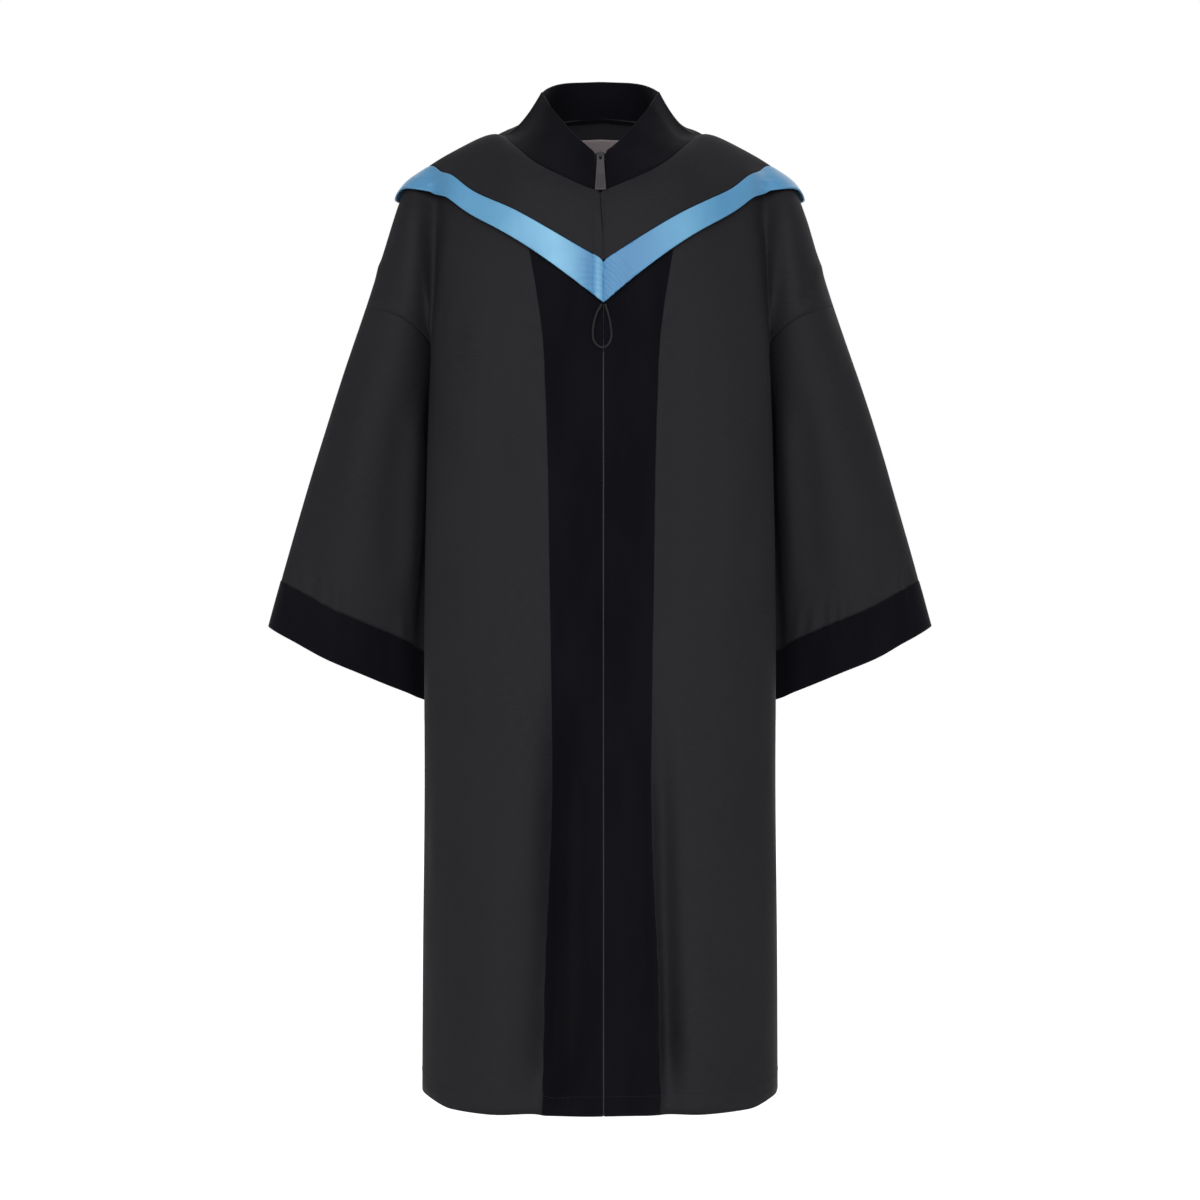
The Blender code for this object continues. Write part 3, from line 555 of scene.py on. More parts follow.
def smoothRoute(points, spacing):
    padded = [points[0] * 2 - points[1], *points, points[-1] * 2 - points[-2]]
    fine = []
    for before, start, end, after in zip(padded, padded[1:], padded[2:], padded[3:]):
        for u in steps(0, 1, 12)[:-1]:
            slopeIn = (end - before) / 2
            slopeOut = (after - start) / 2
            fine.append(
                start * (1 + 2 * u) * (1 - u) ** 2
                + slopeIn * u * (1 - u) ** 2
                + end * u * u * (3 - 2 * u)
                + slopeOut * u * u * (u - 1)
            )
    fine.append(points[-1])
    lengths = [0.0]
    for a, b in zip(fine, fine[1:]):
        lengths.append(lengths[-1] + (b - a).length)
    even = []
    i = 0
    for wanted in steps(0, lengths[-1], round(lengths[-1] / spacing)):
        while i < len(lengths) - 2 and lengths[i + 1] < wanted:
            i += 1
        even.append(fine[i].lerp(fine[i + 1], (wanted - lengths[i]) / (lengths[i + 1] - lengths[i])))
    return even, lengths[-1]


def tubeAlong(name, points, radius, sides, material):
    bm = bmesh.new()
    uv = bm.loops.layers.uv.new("UVMap")
    bmesh.ops.create_circle(bm, segments=sides, radius=radius)
    ring = list(bm.edges)
    up = Vector((0, 1, 0))
    turnOf = {vertex: math.atan2(vertex.co.y, vertex.co.x) for vertex in bm.verts}
    placeOf = {}

    def layRing(edges, i):
        along = (points[min(i + 1, len(points) - 1)] - points[max(i - 1, 0)]).normalized()
        side = along.cross(up).normalized()
        front = side.cross(along)
        for vertex in {vertex for edge in edges for vertex in edge.verts}:
            turn = turnOf[vertex]
            vertex.co = points[i] + (side * math.cos(turn) + front * math.sin(turn)) * radius
            placeOf[vertex] = i

    layRing(ring, 0)
    for i in range(1, len(points)):
        grown = bmesh.ops.extrude_edge_only(bm, edges=ring)["geom"]
        ring = [item for item in grown if isinstance(item, bmesh.types.BMEdge)]
        fresh = [item for item in grown if isinstance(item, bmesh.types.BMVert)]
        for vertex in fresh:
            others = [edge.other_vert(vertex) for edge in vertex.link_edges]
            known = [other for other in others if other in turnOf]
            turnOf[vertex] = turnOf[min(known, key=lambda other: (other.co - vertex.co).length)]
        ring = [edge for edge in ring if all(vertex in fresh for vertex in edge.verts)]
        layRing(ring, i)
    bmesh.ops.holes_fill(bm, edges=[edge for edge in bm.edges if edge.is_boundary])
    bmesh.ops.recalc_face_normals(bm, faces=bm.faces)
    spacing = (points[1] - points[0]).length
    for face in bm.faces:
        turns = [turnOf[loop.vert] for loop in face.loops]
        wraps = max(turns) - min(turns) > math.pi
        for loop, turn in zip(face.loops, turns):
            turn = turn + 2 * math.pi if wraps and turn < 0 else turn
            loop[uv].uv = (turn / (2 * math.pi), placeOf[loop.vert] * spacing)
    mesh = meshFrom(name, bm)
    smoothFaces(mesh)
    mesh.materials.append(material)
    return newObject(name, mesh)


cordPoints, cordLength = smoothRoute([Vector(point) for point in cordLoop["route"]], cordLoop["spacing"])
cordPiece = tubeAlong("cordLoop", cordPoints, cordLoop["diameter"] / 2, cordLoop["sides"], looks["cord"])
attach(cordPiece, "gown")
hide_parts("cord_loop")
print("cord loop", round(cordLength, 4))


# Cloth shells: the outer face of each solid, made fine, creased and given its wall
bodyAxis = ((0, -0.01, -1.2), (0, -0.01, 0.1))
armAxis = ((0.293, 0.052, -0.63), (0.235, 0.02, -0.25))
widestWall = 0.0035  # the faces of a solid's cut edges are narrower than this
weldWithin = 0.00002
unwrapRadius = {"arm": 0.08, "body": 0.16}
lettingOut = {"rounds": 2, "share": 0.9, "near": 0.35, "most": 0.006}
relaxing = {"share": 0.5, "straight": -0.6}  # an edge that bends more than this is a corner
tuckClearance = 0.003  # edges that end lower than this above the piece's hem aren't tucked


def axisOf(name):
    side = clothPieces[name].get("arm", 0)
    if not side:
        return Vector(bodyAxis[0]), Vector(bodyAxis[1])
    return tuple(Vector((x * side, y, z)) for x, y, z in armAxis)


def outerFace(name):
    bm = bmesh.new()
    bm.from_mesh(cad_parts[name].data)
    bmesh.ops.remove_doubles(bm, verts=bm.verts, dist=weldWithin)
    edging = [face for face in bm.faces if min(edge.calc_length() for edge in face.edges) < widestWall]
    bmesh.ops.delete(bm, geom=edging, context="FACES")
    bm.normal_update()
    low, high = axisOf(name)
    line = (high - low).normalized()
    inward = -1 if clothPieces[name].get("faceIn") else 1
    inner, seen = [], set()
    for start in bm.faces:
        if start in seen:
            continue
        island, waiting, outwards = [], [start], 0.0
        seen.add(start)
        while waiting:
            face = waiting.pop()
            island.append(face)
            away = face.calc_center_median() - low
            outwards += (away - line * away.dot(line)).normalized().dot(face.normal) * face.calc_area()
            for edge in face.edges:
                for other in edge.link_faces:
                    if other not in seen:
                        seen.add(other)
                        waiting.append(other)
        if outwards * inward < 0:
            inner += island
    bmesh.ops.delete(bm, geom=inner, context="FACES")
    return squared(bm)


def dented(face):
    corners = [loop.vert.co for loop in face.loops]
    turns = zip(corners, corners[1:] + corners[:1], corners[2:] + corners[:2])
    return any((b - a).cross(c - b).dot(face.normal) < 0 for a, b, c in turns)


def squared(bm):
    # Triangles are paired back into squares, in whichever way leaves the fewest of them
    best, fewest = None, None
    for influence in (1.0, 1.5, 2.0, 2.5):
        trial = bm.copy()
        bmesh.ops.join_triangles(
            trial,
            faces=trial.faces,
            angle_face_threshold=math.radians(60),
            angle_shape_threshold=math.radians(180),
            topology_influence=influence,
        )
        trial.normal_update()
        left = sum(1 if len(face.verts) == 3 else 3 * dented(face) for face in trial.faces)
        if fewest is None or left < fewest:
            best, fewest = trial, left
    return best


def madeFine(name, bm, levels):
    near = lettingOut["near"]
    reach = [near * min(edge.calc_length() for edge in vertex.link_edges) for vertex in bm.verts]
    coarse = newObject(name + "Coarse", meshFrom(name + "Coarse", bm))
    fine = coarse.modifiers.new("Fine", "SUBSURF")
    fine.levels = levels
    fine.render_levels = levels
    fine.boundary_smooth = "PRESERVE_CORNERS"
    # Subdivision draws the cloth in, so the coarse points are let out, never past the points beside them
    aims = [vertex.co.copy() for vertex in coarse.data.vertices]
    for _ in range(lettingOut["rounds"]):
        evaluated = coarse.evaluated_get(bpy.context.evaluated_depsgraph_get())
        drawn = [evaluated.data.vertices[i].co.copy() for i in range(len(aims))]
        for i, vertex in enumerate(coarse.data.vertices):
            letOut = vertex.co + (aims[i] - drawn[i]) * lettingOut["share"] - aims[i]
            most = min(reach[i], lettingOut["most"])
            if letOut.length > most:
                letOut *= most / letOut.length
            vertex.co = aims[i] + letOut
        coarse.data.update()
    evaluated = coarse.evaluated_get(bpy.context.evaluated_depsgraph_get())
    mesh = bpy.data.meshes.new_from_object(evaluated)
    mesh.name = name
    bpy.data.objects.remove(coarse)
    return mesh


def relax(bm, rounds):
    # Evens out the cloth; edges are evened along themselves, and corners stay
    besides = {}
    for vertex in bm.verts:
        if vertex.is_boundary:
            along = [edge.other_vert(vertex) for edge in vertex.link_edges if edge.is_boundary]
            ways = [(other.co - vertex.co).normalized() for other in along]
            corner = len(ways) != 2 or ways[0].dot(ways[1]) > relaxing["straight"]
            besides[vertex] = [] if corner else along
        else:
            besides[vertex] = [edge.other_vert(vertex) for edge in vertex.link_edges]
    for _ in range(rounds):
        spots = {
            vertex: sum((other.co for other in others), Vector()) / len(others)
            for vertex, others in besides.items()
            if others
        }
        for vertex, spot in spots.items():
            vertex.co = vertex.co.lerp(spot, relaxing["share"])


def tuckEdge(bm, wanted, length, depth):
    # A seam allowance: chosen edges run on a little and dive under the next piece
    bm.normal_update()
    lowest = min(vertex.co.z for vertex in bm.verts)
    edges = [edge for edge in bm.edges if edge.is_boundary and all(wanted(v.co) for v in edge.verts)]
    edges = [edge for edge in edges if max(v.co.z for v in edge.verts) > lowest + tuckClearance]
    shifts = {}
    for edge in edges:
        face = edge.link_faces[0]
        middle = (edge.verts[0].co + edge.verts[1].co) / 2
        along = (edge.verts[1].co - edge.verts[0].co).normalized()
        out = middle - face.calc_center_median()
        out = (out - along * out.dot(along)).normalized()
        for vertex in edge.verts:
            shifts.setdefault(vertex, []).append(out * length - vertex.normal * depth)
    spots = {}
    for vertex, moves in shifts.items():
        spots[tuple(vertex.co)] = vertex.co + sum(moves, Vector()) / len(moves)
    grown = bmesh.ops.extrude_edge_only(bm, edges=edges)["geom"]
    for item in grown:
        if isinstance(item, bmesh.types.BMVert):
            item.co = spots[tuple(item.co)]


def layCloth(mesh, low, high, radius, zeroAtBack):
    # Cloth coordinates in metres: round the axis and along it
    layer = mesh.uv_layers.new(name="cloth")
    along = (high - low).normalized()
    side = Vector((1, 0, 0))
    front = along.cross(side).normalized() * (1 if zeroAtBack else -1)
    side = (side - along * side.dot(along)).normalized()
    for polygon in mesh.polygons:
        turns, heights = [], []
        for index in polygon.loop_indices:
            offset = mesh.vertices[mesh.loops[index].vertex_index].co - low
            turns.append(math.atan2(offset.dot(side), offset.dot(front)))
            heights.append(offset.dot(along))
        wraps = max(turns) - min(turns) > math.pi
        for index, turn, height in zip(polygon.loop_indices, turns, heights):
            turn = turn + 2 * math.pi if wraps and turn < 0 else turn
            layer.data[index].uv = (turn * radius, height)


hemCorner = {"startX": 0.168, "endX": 0.208, "startZ": -0.99, "endZ": -1.12, "lift": 0.009}


def pushCloth(mesh, facts):
    normals = [Vector(item.vector) for item in mesh.attributes["pushWay"].data]
    for vertex, normal in zip(mesh.vertices, normals):
        vertex.co += normal * facts["shift"](vertex.co, normal)
        if normal.y < 0:
            vertex.co.y += bandFold(vertex.co)
            vertex.co.z += trimRise(vertex.co) if "lifted" in facts else 0.0
            vertex.co.x -= zipClosing(vertex.co) if "coversZip" in facts else 0.0
        side = (abs(vertex.co.x) - hemCorner["startX"]) / (hemCorner["endX"] - hemCorner["startX"])
        down = (vertex.co.z - hemCorner["startZ"]) / (hemCorner["endZ"] - hemCorner["startZ"])
        vertex.co.z += hemCorner["lift"] * ease(side) * ease(down)
    mesh.attributes.remove(mesh.attributes["pushWay"])


def bandFold(co):
    total = 0.0
    for fold in bandFolds:
        start, end = Vector(fold["start"]), Vector(fold["end"])
        along = (co.z - start.y) / (end.y - start.y)
        away = (co.x - mix(start.x, end.x, along)) / fold["width"]
        fading = ease(along / foldFade["top"]) * ease((co.z - foldFade["hem"]) / foldFade["above"])
        total += fold["depth"] * math.exp(-away * away) * fading
    return total


def trimRise(co):
    # Evens the line of the trim near the shoulder
    up = co.z - trimLift["z"]
    reach = trimLift["above"] if up > 0 else trimLift["below"]
    side = (abs(co.x - 0.002) - trimLift["x"]) / trimLift["across"]
    return trimLift["rise"] * math.exp(-side * side - (up / reach) ** 2)


def zipClosing(co):
    # Below the cape the velvet bands meet over the top of the zip
    away = co.x - between(zipLine, co.z, 1)
    near = ease((zipCover["far"] - abs(away)) / (zipCover["far"] - zipCover["near"]))
    return zipCover["share"] * away * near * ease((co.z - zipCover["low"]) / zipCover["soft"])


def ripple(co, scale, depth, seed):
    return noise.noise(Vector((co.x * scale + seed, co.y * scale, co.z * scale * 0.35))) * depth


# Creases in front view: start and end (x, z), half width and depth in metres, out of the cloth or into it
creases = {
    "rightBandCrest": {"start": (-0.098, -0.70), "end": (-0.120, -1.36), "width": 0.024, "depth": 0.0030},
    "leftBandCrest": {"start": (0.098, -0.80), "end": (0.112, -1.36), "width": 0.018, "depth": 0.0022},
    "rightArmhole": {"start": (-0.2035, -0.080), "end": (-0.1985, -0.245), "width": 0.010, "depth": -0.0017},
    "leftArmhole": {"start": (0.2095, -0.080), "end": (0.2035, -0.245), "width": 0.010, "depth": -0.0017},
    "rightRidge": {"start": (-0.207, -0.300), "end": (-0.226, -0.560), "width": 0.011, "depth": 0.0034},
    "leftRidge": {"start": (0.211, -0.300), "end": (0.231, -0.560), "width": 0.011, "depth": 0.0034},
    "rightValley": {"start": (-0.228, -0.290), "end": (-0.250, -0.560), "width": 0.016, "depth": -0.0026},
    "leftValley": {"start": (0.232, -0.290), "end": (0.254, -0.560), "width": 0.016, "depth": -0.0026},
    "rightArm": {"start": (-0.272, -0.142), "end": (-0.240, -0.190), "width": 0.0065, "depth": 0.0024},
    "rightArmLow": {"start": (-0.262, -0.170), "end": (-0.225, -0.215), "width": 0.0070, "depth": -0.0022},
    "leftArm": {"start": (0.270, -0.135), "end": (0.244, -0.188), "width": 0.0065, "depth": 0.0022},
    "leftArmLow": {"start": (0.259, -0.168), "end": (0.228, -0.212), "width": 0.0070, "depth": -0.0020},
    "rightSlant": {"start": (-0.262, -0.225), "end": (-0.318, -0.500), "width": 0.024, "depth": 0.0032},
    "leftSlant": {"start": (0.268, -0.225), "end": (0.322, -0.500), "width": 0.024, "depth": 0.0028},
    "backLeft": {
        "back": True,
        "start": (0.075, -0.20),
        "end": (0.095, -1.33),
        "width": 0.030,
        "depth": -0.0060,
    },
    "backRight": {
        "back": True,
        "start": (-0.080, -0.18),
        "end": (-0.090, -1.33),
        "width": 0.028,
        "depth": -0.0055,
    },
}
creaseFade = {"facing": 0.35, "ends": 0.3, "widths": 3}  # a crease ends three of its widths away
bandFolds = (  # the long fold beside each velvet band: where it starts and ends (x, z), half width, depth
    {"start": (-0.038, -0.56), "end": (-0.050, -1.13), "width": 0.0225, "depth": 0.036},
    {"start": (0.064, -0.60), "end": (0.077, -1.13), "width": 0.0140, "depth": 0.0185},
)
foldFade = {"top": 0.50, "hem": -1.128, "above": 0.085}
trimLift = {"x": 0.180, "z": -0.0665, "across": 0.024, "above": 0.018, "below": 0.030, "rise": 0.0085}
zipLine = (  # the middle of the zip: z, x
    (-0.0864, 0.0001),
    (-0.1050, 0.0009),
    (-0.1290, 0.0026),
    (-0.1575, 0.0038),
    (-1.1234, 0.0039),
)
zipCover = {"low": -0.290, "soft": 0.035, "near": 0.0025, "far": 0.008, "share": 0.8}
trimPoint = {"x": 0.0039, "z": -0.216, "reach": 0.235, "rise": 0.128}  # the outer edge of the light band
bandEdge = (  # the outer edge of each velvet band: z, x on the wearer's right, x on the left
    (-0.154, -0.0789, 0.0830),
    (-0.404, -0.0577, 0.0628),
    (-0.694, -0.0519, 0.0583),
    (-1.126, -0.0631, 0.0684),
)
cuffSeam = ((0.204, -0.6026), (0.222, -0.5892), (0.296, -0.5575), (0.360, -0.5279))


def between(table, at, column):
    for low, high in zip(table, table[1:]):
        if (at - low[0]) * (at - high[0]) <= 0:
            return mix(low[column], high[column], (at - low[0]) / (high[0] - low[0]))
    return table[0][column] if abs(at - table[0][0]) < abs(at - table[-1][0]) else table[-1][column]


def creaseDepth(co, facing):
    total = 0.0
    for crease in creases.values():
        weight = ease((facing if crease.get("back") else -facing) / creaseFade["facing"])
        if weight == 0:
            continue
        start, end = Vector(crease["start"]), Vector(crease["end"])
        line = end - start
        spot = Vector((co.x, co.z)) - start
        along = spot.dot(line) / line.length_squared
        if not 0 < along < 1:
            continue
        away = (spot - line * along).length / crease["width"]
        if away < creaseFade["widths"]:
            depth = crease["depth"] * math.exp(-away * away) * weight
            total += depth * ease(along / creaseFade["ends"]) * ease((1 - along) / creaseFade["ends"])
    return total


bodyDrape = {
    "top": 0.012,  # the folds begin this far above the cape's outer edge, under it
    "fade": 0.035,  # and are at their full depth this far below there
    "backTop": -0.13,
    "backFade": 0.08,
    "slow": (13.0, 0.0036, 0.0),  # scale, depth and seed
    "quick": (34.0, 0.0010, 5.0),
    "level": 0.4,  # cloth that faces less to the front or back than this has shallower waves
}
bandPuckers = {"low": -1.2, "high": -0.15, "width": 0.009, "depth": 0.0011, "turns": 150, "wander": 7}
cuffPuckers = {"height": 0.020, "fromX": 0.19, "depth": 0.0013, "turns": 330, "wander": 6}
capeDrape = {"waves": (16.0, 0.0020, 9.0), "top": -0.045, "fade": 0.04}
placket = {
    "seamX": 0.0048,
    "foldX": -0.0072,
    "levelZ": -0.15,
    "lean": 0.004,
    "soft": 0.0010,
    "rise": 0.0014,
}
trimWrinkles = {"reach": 0.075, "depth": 0.0007, "rings": 520, "across": 300, "fade": 0.04}
collarWaves = (30.0, 0.0009, 3.0)
neckSeam = {"middle": 0.010, "slope": 0.5, "zip": 0.012}  # parts the collar's lower edge from its others
tuckZones = {"frontY": -0.06, "besideBand": 0.012, "tapeTop": -0.0515, "sleeveTop": -0.345}


def bandEdgeX(co):
    return between(bandEdge, co.z, 1 if co.x < trimPoint["x"] else 2)


def bodyShift(co, normal):
    # Folds of the gown itself; they fade out under the cape
    side = abs(co.x - trimPoint["x"]) / trimPoint["reach"]
    edgeZ = trimPoint["z"] + trimPoint["rise"] * min(side, 1.0)
    shown = ease((edgeZ + bodyDrape["top"] - co.z) / bodyDrape["fade"])
    if normal.y > 0:
        shown = ease((bodyDrape["backTop"] - co.z) / bodyDrape["backFade"])
    flatness = ease(abs(normal.y) / bodyDrape["level"])
    waves = ripple(co, *bodyDrape["slow"]) + ripple(co, *bodyDrape["quick"])
    total = creaseDepth(co, normal.y) + waves * flatness
    if normal.y < 0 and bandPuckers["low"] < co.z < bandPuckers["high"]:
        near = math.exp(-(((co.x - bandEdgeX(co)) / bandPuckers["width"]) ** 2))
        wander = bandPuckers["wander"] * noise.noise(Vector((co.x * 20, 0, co.z * 9)))
        total += bandPuckers["depth"] * near * math.sin(co.z * bandPuckers["turns"] + wander)
    return total * shown


def sleeveShift(co, normal):
    side = abs(co.x)
    below = (co.z - between(cuffSeam, side, 1)) / cuffPuckers["height"]
    puckers = 0.0
    if abs(below) < 3 and side > cuffPuckers["fromX"]:
        wander = cuffPuckers["wander"] * noise.noise(Vector((co.x * 30, co.y * 30, 0)))
        wave = math.sin(side * cuffPuckers["turns"] + wander)
        strength = clamp(0.5 + 2.2 * noise.noise(Vector((co.x * 17, co.y * 9, 4.0))))
        puckers = cuffPuckers["depth"] * strength * wave * math.exp(-below * below)
    return bodyShift(co, normal) + puckers * ease(abs(normal.y) / bodyDrape["level"])


def capeShift(co, normal):
    # The shoulder cape: slow drape, and the placket that lies on the wearer's right of its seam
    total = ripple(co, *capeDrape["waves"]) * ease((capeDrape["top"] - co.z) / capeDrape["fade"])
    fold = placket["foldX"] - placket["lean"] * (co.z - placket["levelZ"])
    if normal.y < 0 and co.x < placket["seamX"]:
        total += placket["rise"] * ease((co.x - fold + placket["soft"]) / placket["soft"])
    return total


def trimShift(co, normal):
    away = (co - Vector((trimPoint["x"], co.y, trimPoint["z"]))).length
    total = capeShift(co, normal)
    if normal.y < 0 and away < trimWrinkles["reach"]:
        wave = math.sin(away * trimWrinkles["rings"] + co.x * trimWrinkles["across"])
        shown = ease((trimWrinkles["reach"] - away) / trimWrinkles["fade"])
        total += trimWrinkles["depth"] * wave * shown
    return total


def collarShift(co, normal):
    return ripple(co, *collarWaves)


def lowerEdge(co):
    besideZip = co.y < 0 and abs(co.x) < neckSeam["zip"]
    return not besideZip and co.z < neckSeam["middle"] + neckSeam["slope"] * co.y


def besideBand(co):
    return co.y < tuckZones["frontY"] and abs(co.x - bandEdgeX(co)) < tuckZones["besideBand"]


def tapeTop(co):
    return co.z > tuckZones["tapeTop"]


def sleeveTop(co):
    return co.z > tuckZones["sleeveTop"]


# Each tuck: which edge, how far it runs on and how deep it dives
gownCut = {"look": "gown", "slot": "gown_cloth", "wall": 0.0014, "levels": 3, "shift": bodyShift}
velvetCut = {"look": "velvet", "slot": "velvet", "wall": 0.0020, "levels": 3, "shift": bodyShift}
frontCut = {**gownCut, "relax": 2, "tucks": [(besideBand, 0.004, 0.0014)]}
backCut = {**gownCut, "relax": 2, "levels": 2, "fromBack": True}
facingCut = {**velvetCut, "coversZip": True}
sleeveCut = {**gownCut, "relax": 2, "shift": sleeveShift, "tucks": [(sleeveTop, 0.006, 0.003)]}
cuffCut = {**velvetCut, "shift": sleeveShift}
collarCut = {**velvetCut, "wall": 0.0030, "fromBack": True, "shift": collarShift}
capeCut = {**gownCut, "relax": 12, "lifted": True, "shift": capeShift}
trimCut = {**capeCut, "look": "satin", "slot": "satin_trim", "wall": 0.0018, "shift": trimShift}
tapeCut = {"look": "tape", "slot": "zip_tape", "wall": 0.0010, "levels": 2, "shift": bodyShift}
labelCut = {"look": "label", "slot": "label_cloth", "wall": 0.0010, "levels": 3, "fromBack": True}

clothPieces = {
    "front_left": {**frontCut, "flat": (0.285, 1.18), "area": 0.285},
    "front_right": {**frontCut, "flat": (0.290, 1.18), "area": 0.289},
    "facing_left": {**facingCut, "flat": (0.105, 1.13), "area": 0.068},
    "facing_right": {**facingCut, "flat": (0.105, 1.13), "area": 0.076},
    "back": {**backCut, "flat": (0.600, 1.17), "area": 0.567},
    "sleeve_left": {**sleeveCut, "arm": 1, "flat": (0.530, 0.41), "area": 0.162},
    "sleeve_right": {**sleeveCut, "arm": -1, "flat": (0.530, 0.41), "area": 0.161},
    "cuff_left": {**cuffCut, "arm": 1, "flat": (0.545, 0.057), "area": 0.030},
    "cuff_right": {**cuffCut, "arm": -1, "flat": (0.545, 0.057), "area": 0.030},
    "collar": {**collarCut, "tucks": [(lowerEdge, 0.006, 0.003)], "flat": (0.610, 0.09), "area": 0.038},
    "cape_left": {**capeCut, "flat": (0.420, 0.26), "area": 0.061},
    "cape_right": {**capeCut, "flat": (0.420, 0.26), "area": 0.061},
    "trim_left": {**trimCut, "flat": (0.725, 0.036), "area": 0.023},
    "trim_right": {**trimCut, "flat": (0.725, 0.036), "area": 0.023},
    "zip_tape": {**tapeCut, "tucks": [(tapeTop, 0.0135, 0.0)], "flat": (0.0225, 1.11), "area": 0.0244},
    "label": {**labelCut, "faceIn": True, "flat": (0.062, 0.064), "area": 0.0039},
}


def makeShell(name):
    facts = clothPieces[name]
    mesh = madeFine(name + "_cloth", outerFace(name), facts["levels"])
    bm = bmesh.new()
    bm.from_mesh(mesh)
    relax(bm, facts.get("relax", 0))
    bm.normal_update()
    pushWay = bm.verts.layers.float_vector.new("pushWay")
    for vertex in bm.verts:
        vertex[pushWay] = vertex.normal
    for tuck in facts.get("tucks", ()):
        tuckEdge(bm, *tuck)
    bm.to_mesh(mesh)
    bm.free()
    radius = unwrapRadius["arm" if "arm" in facts else "body"]
    layCloth(mesh, *axisOf(name), radius, facts.get("fromBack", False))
    if "shift" in facts:
        pushCloth(mesh, facts)
    smoothFaces(mesh)
    mesh.materials.clear()
    mesh.materials.append(looks[facts["look"]])
    piece = newObject(name + "_cloth", mesh)
    wall = piece.modifiers.new("Wall", "SOLIDIFY")
    wall.thickness = facts["wall"]
    wall.offset = -1
    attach(piece, "gown")
    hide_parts(name)
    area = sum(polygon.area for polygon in mesh.polygons)
    print(name, len(mesh.polygons), "faces", round(area, 4), "m2")
    return piece


shells = {name: makeShell(name) for name in clothPieces}
for node, look in (("zip_slider", "slider"), ("zip_pull", "tab")):
    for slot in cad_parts[node].material_slots:
        slot.material = looks[look]
print("cloth shells ready")


# Small parts laid on the cloth: zip teeth, hem sewing and the ribs of the pull
def treeOf(piece):
    corners = [vertex.co for vertex in piece.data.vertices]
    return BVHTree.FromPolygons(corners, [polygon.vertices for polygon in piece.data.polygons])


def placeAt(spot, along, out):
    side = along.cross(out).normalized()
    front = side.cross(along).normalized()
    return Matrix.Translation(spot) @ Matrix((side, along.normalized(), front)).transposed().to_4x4()


def rowOfBlocks(name, places, size, edge, look, body):
    # size is across the row, along it and out of the cloth
    bm = bmesh.new()
    for place in places:
        bmesh.ops.create_cube(bm, size=1.0, matrix=place @ Matrix.Diagonal((*size, 1)))
    bmesh.ops.bevel(
        bm,
        geom=bm.edges,
        offset=edge,
        segments=1,
        affect="EDGES",
        profile=0.5,
        material=-1,
        clamp_overlap=True,
    )
    mesh = meshFrom(name, bm)
    mesh.materials.append(looks[look])
    piece = newObject(name, mesh)
    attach(piece, body)
    print(name, len(places), "blocks")


zipTeeth = {
    "low": -1.122,
    "high": -0.052,
    "pitch": 0.0015,
    "size": (0.0014, 0.0009, 0.0016),
    "aside": 0.0002,
    "edge": 0.00016,
}


def makeTeeth():
    tape = treeOf(shells["zip_tape"])

    def onTape(z):
        return tape.ray_cast(Vector((between(zipLine, z, 1), -1, z)), Vector((0, 1, 0)))[:2]

    places = []
    z = zipTeeth["low"]
    sign = 1
    while z < zipTeeth["high"]:
        spot, normal = onTape(z)
        ahead = onTape(z + zipTeeth["pitch"])[0]
        if spot is None or ahead is None:
            z += zipTeeth["pitch"]
            continue
        along = (ahead - spot).normalized()
        out = normal if normal.y < 0 else -normal
        middle = spot + out * zipTeeth["size"][2] / 2
        middle.x += sign * zipTeeth["aside"]
        places.append(placeAt(middle, along, out))
        z += zipTeeth["pitch"] * along.z
        sign = -sign
    rowOfBlocks("zip_teeth", places, zipTeeth["size"], zipTeeth["edge"], "teeth", "gown")


hemSewing = {
    "up": 0.022,
    "length": 0.0030,
    "gap": 0.0015,
    "width": 0.00055,
    "height": 0.0005,
    "proud": 0.3,  # the share of its height that a stitch's middle is above the cloth
    "edge": 0.00014,
    "searchZ": -1.05,
    "steepest": 0.6,
    "middleY": -0.02,
}


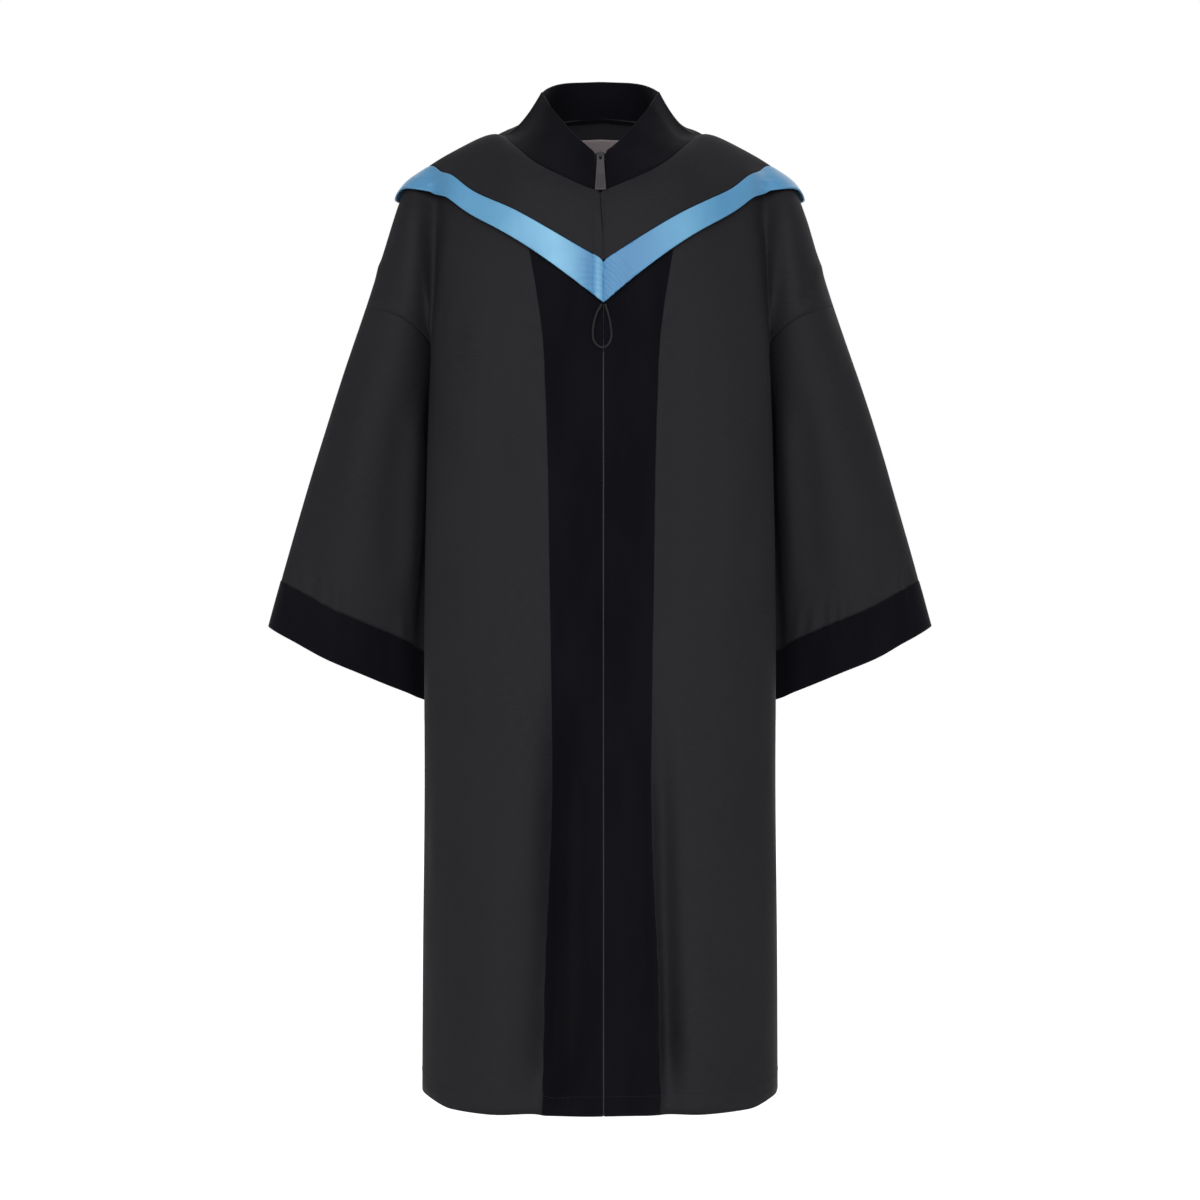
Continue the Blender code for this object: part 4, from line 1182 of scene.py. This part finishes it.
def hemSpots(piece):
    # The points of the lower edge, in order round the gown
    bm = bmesh.new()
    bm.from_mesh(piece.data)
    spots = set()
    for edge in bm.edges:
        if edge.is_boundary and all(vertex.co.z < hemSewing["searchZ"] for vertex in edge.verts):
            start, end = (vertex.co for vertex in edge.verts)
            if abs(start.z - end.z) < hemSewing["steepest"] * edge.calc_length():
                spots.update((tuple(start), tuple(end)))
    bm.free()
    ordered = sorted(spots, key=lambda spot: math.atan2(spot[0], hemSewing["middleY"] - spot[1]))
    return [Vector(spot) for spot in ordered]


def sewRow(name, piece, route, facts, look):
    tree = treeOf(piece)
    step = facts["length"] + facts["gap"]
    places, carried = [], 0.0
    for start, end in zip(route, route[1:]):
        reach = (end - start).length
        while carried < reach:
            spot, normal = tree.find_nearest(start.lerp(end, carried / reach))[:2]
            places.append(placeAt(spot + normal * facts["height"] * facts["proud"], end - start, normal))
            carried += step
        carried -= reach
    size = (facts["width"], facts["length"], facts["height"])
    rowOfBlocks(name, places, size, facts["edge"], look, "gown")


pullRibs = {
    "count": 5,
    "spacing": 0.0019,
    "low": 0.0030,
    "length": 0.0190,
    "width": 0.0007,
    "height": 0.0006,
    "edge": 0.00018,
    "ribbedEnd": 0.01,  # the face's height is taken this near the tab's lower end
}


def makeRibs():
    # Upright ribs on the lower half of the pull tab, on its front face
    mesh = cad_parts["zip_pull"].data
    face = max(mesh.polygons, key=lambda polygon: polygon.area * (polygon.normal.y < 0))
    out = face.normal.copy()
    across = Vector((1, 0, 0))
    up = out.cross(across).normalized()
    up = up if up.z > 0 else -up
    corners = [vertex.co for vertex in mesh.vertices]
    lowest = min(corner.dot(up) for corner in corners)
    surface = max(corner.dot(out) for corner in corners if corner.dot(up) < lowest + pullRibs["ribbedEnd"])
    middle = (min(corner.x for corner in corners) + max(corner.x for corner in corners)) / 2
    height = lowest + pullRibs["low"] + pullRibs["length"] / 2
    places = []
    for i in range(pullRibs["count"]):
        x = middle + (i - (pullRibs["count"] - 1) / 2) * pullRibs["spacing"]
        spot = across * x + up * height + out * surface
        places.append(placeAt(spot, up, out))
    size = (pullRibs["width"], pullRibs["length"], pullRibs["height"])
    rowOfBlocks("pull_ribs", places, size, pullRibs["edge"], "rib", "zip_pull")


makeTeeth()
for name in ("front_left", "front_right", "facing_left", "facing_right", "back"):
    route = [spot + Vector((0, 0, hemSewing["up"])) for spot in hemSpots(shells[name])]
    sewRow("sewing_" + name, shells[name], route, hemSewing, "gown" if "facing" in name else "thread")
makeRibs()
print("small parts ready")
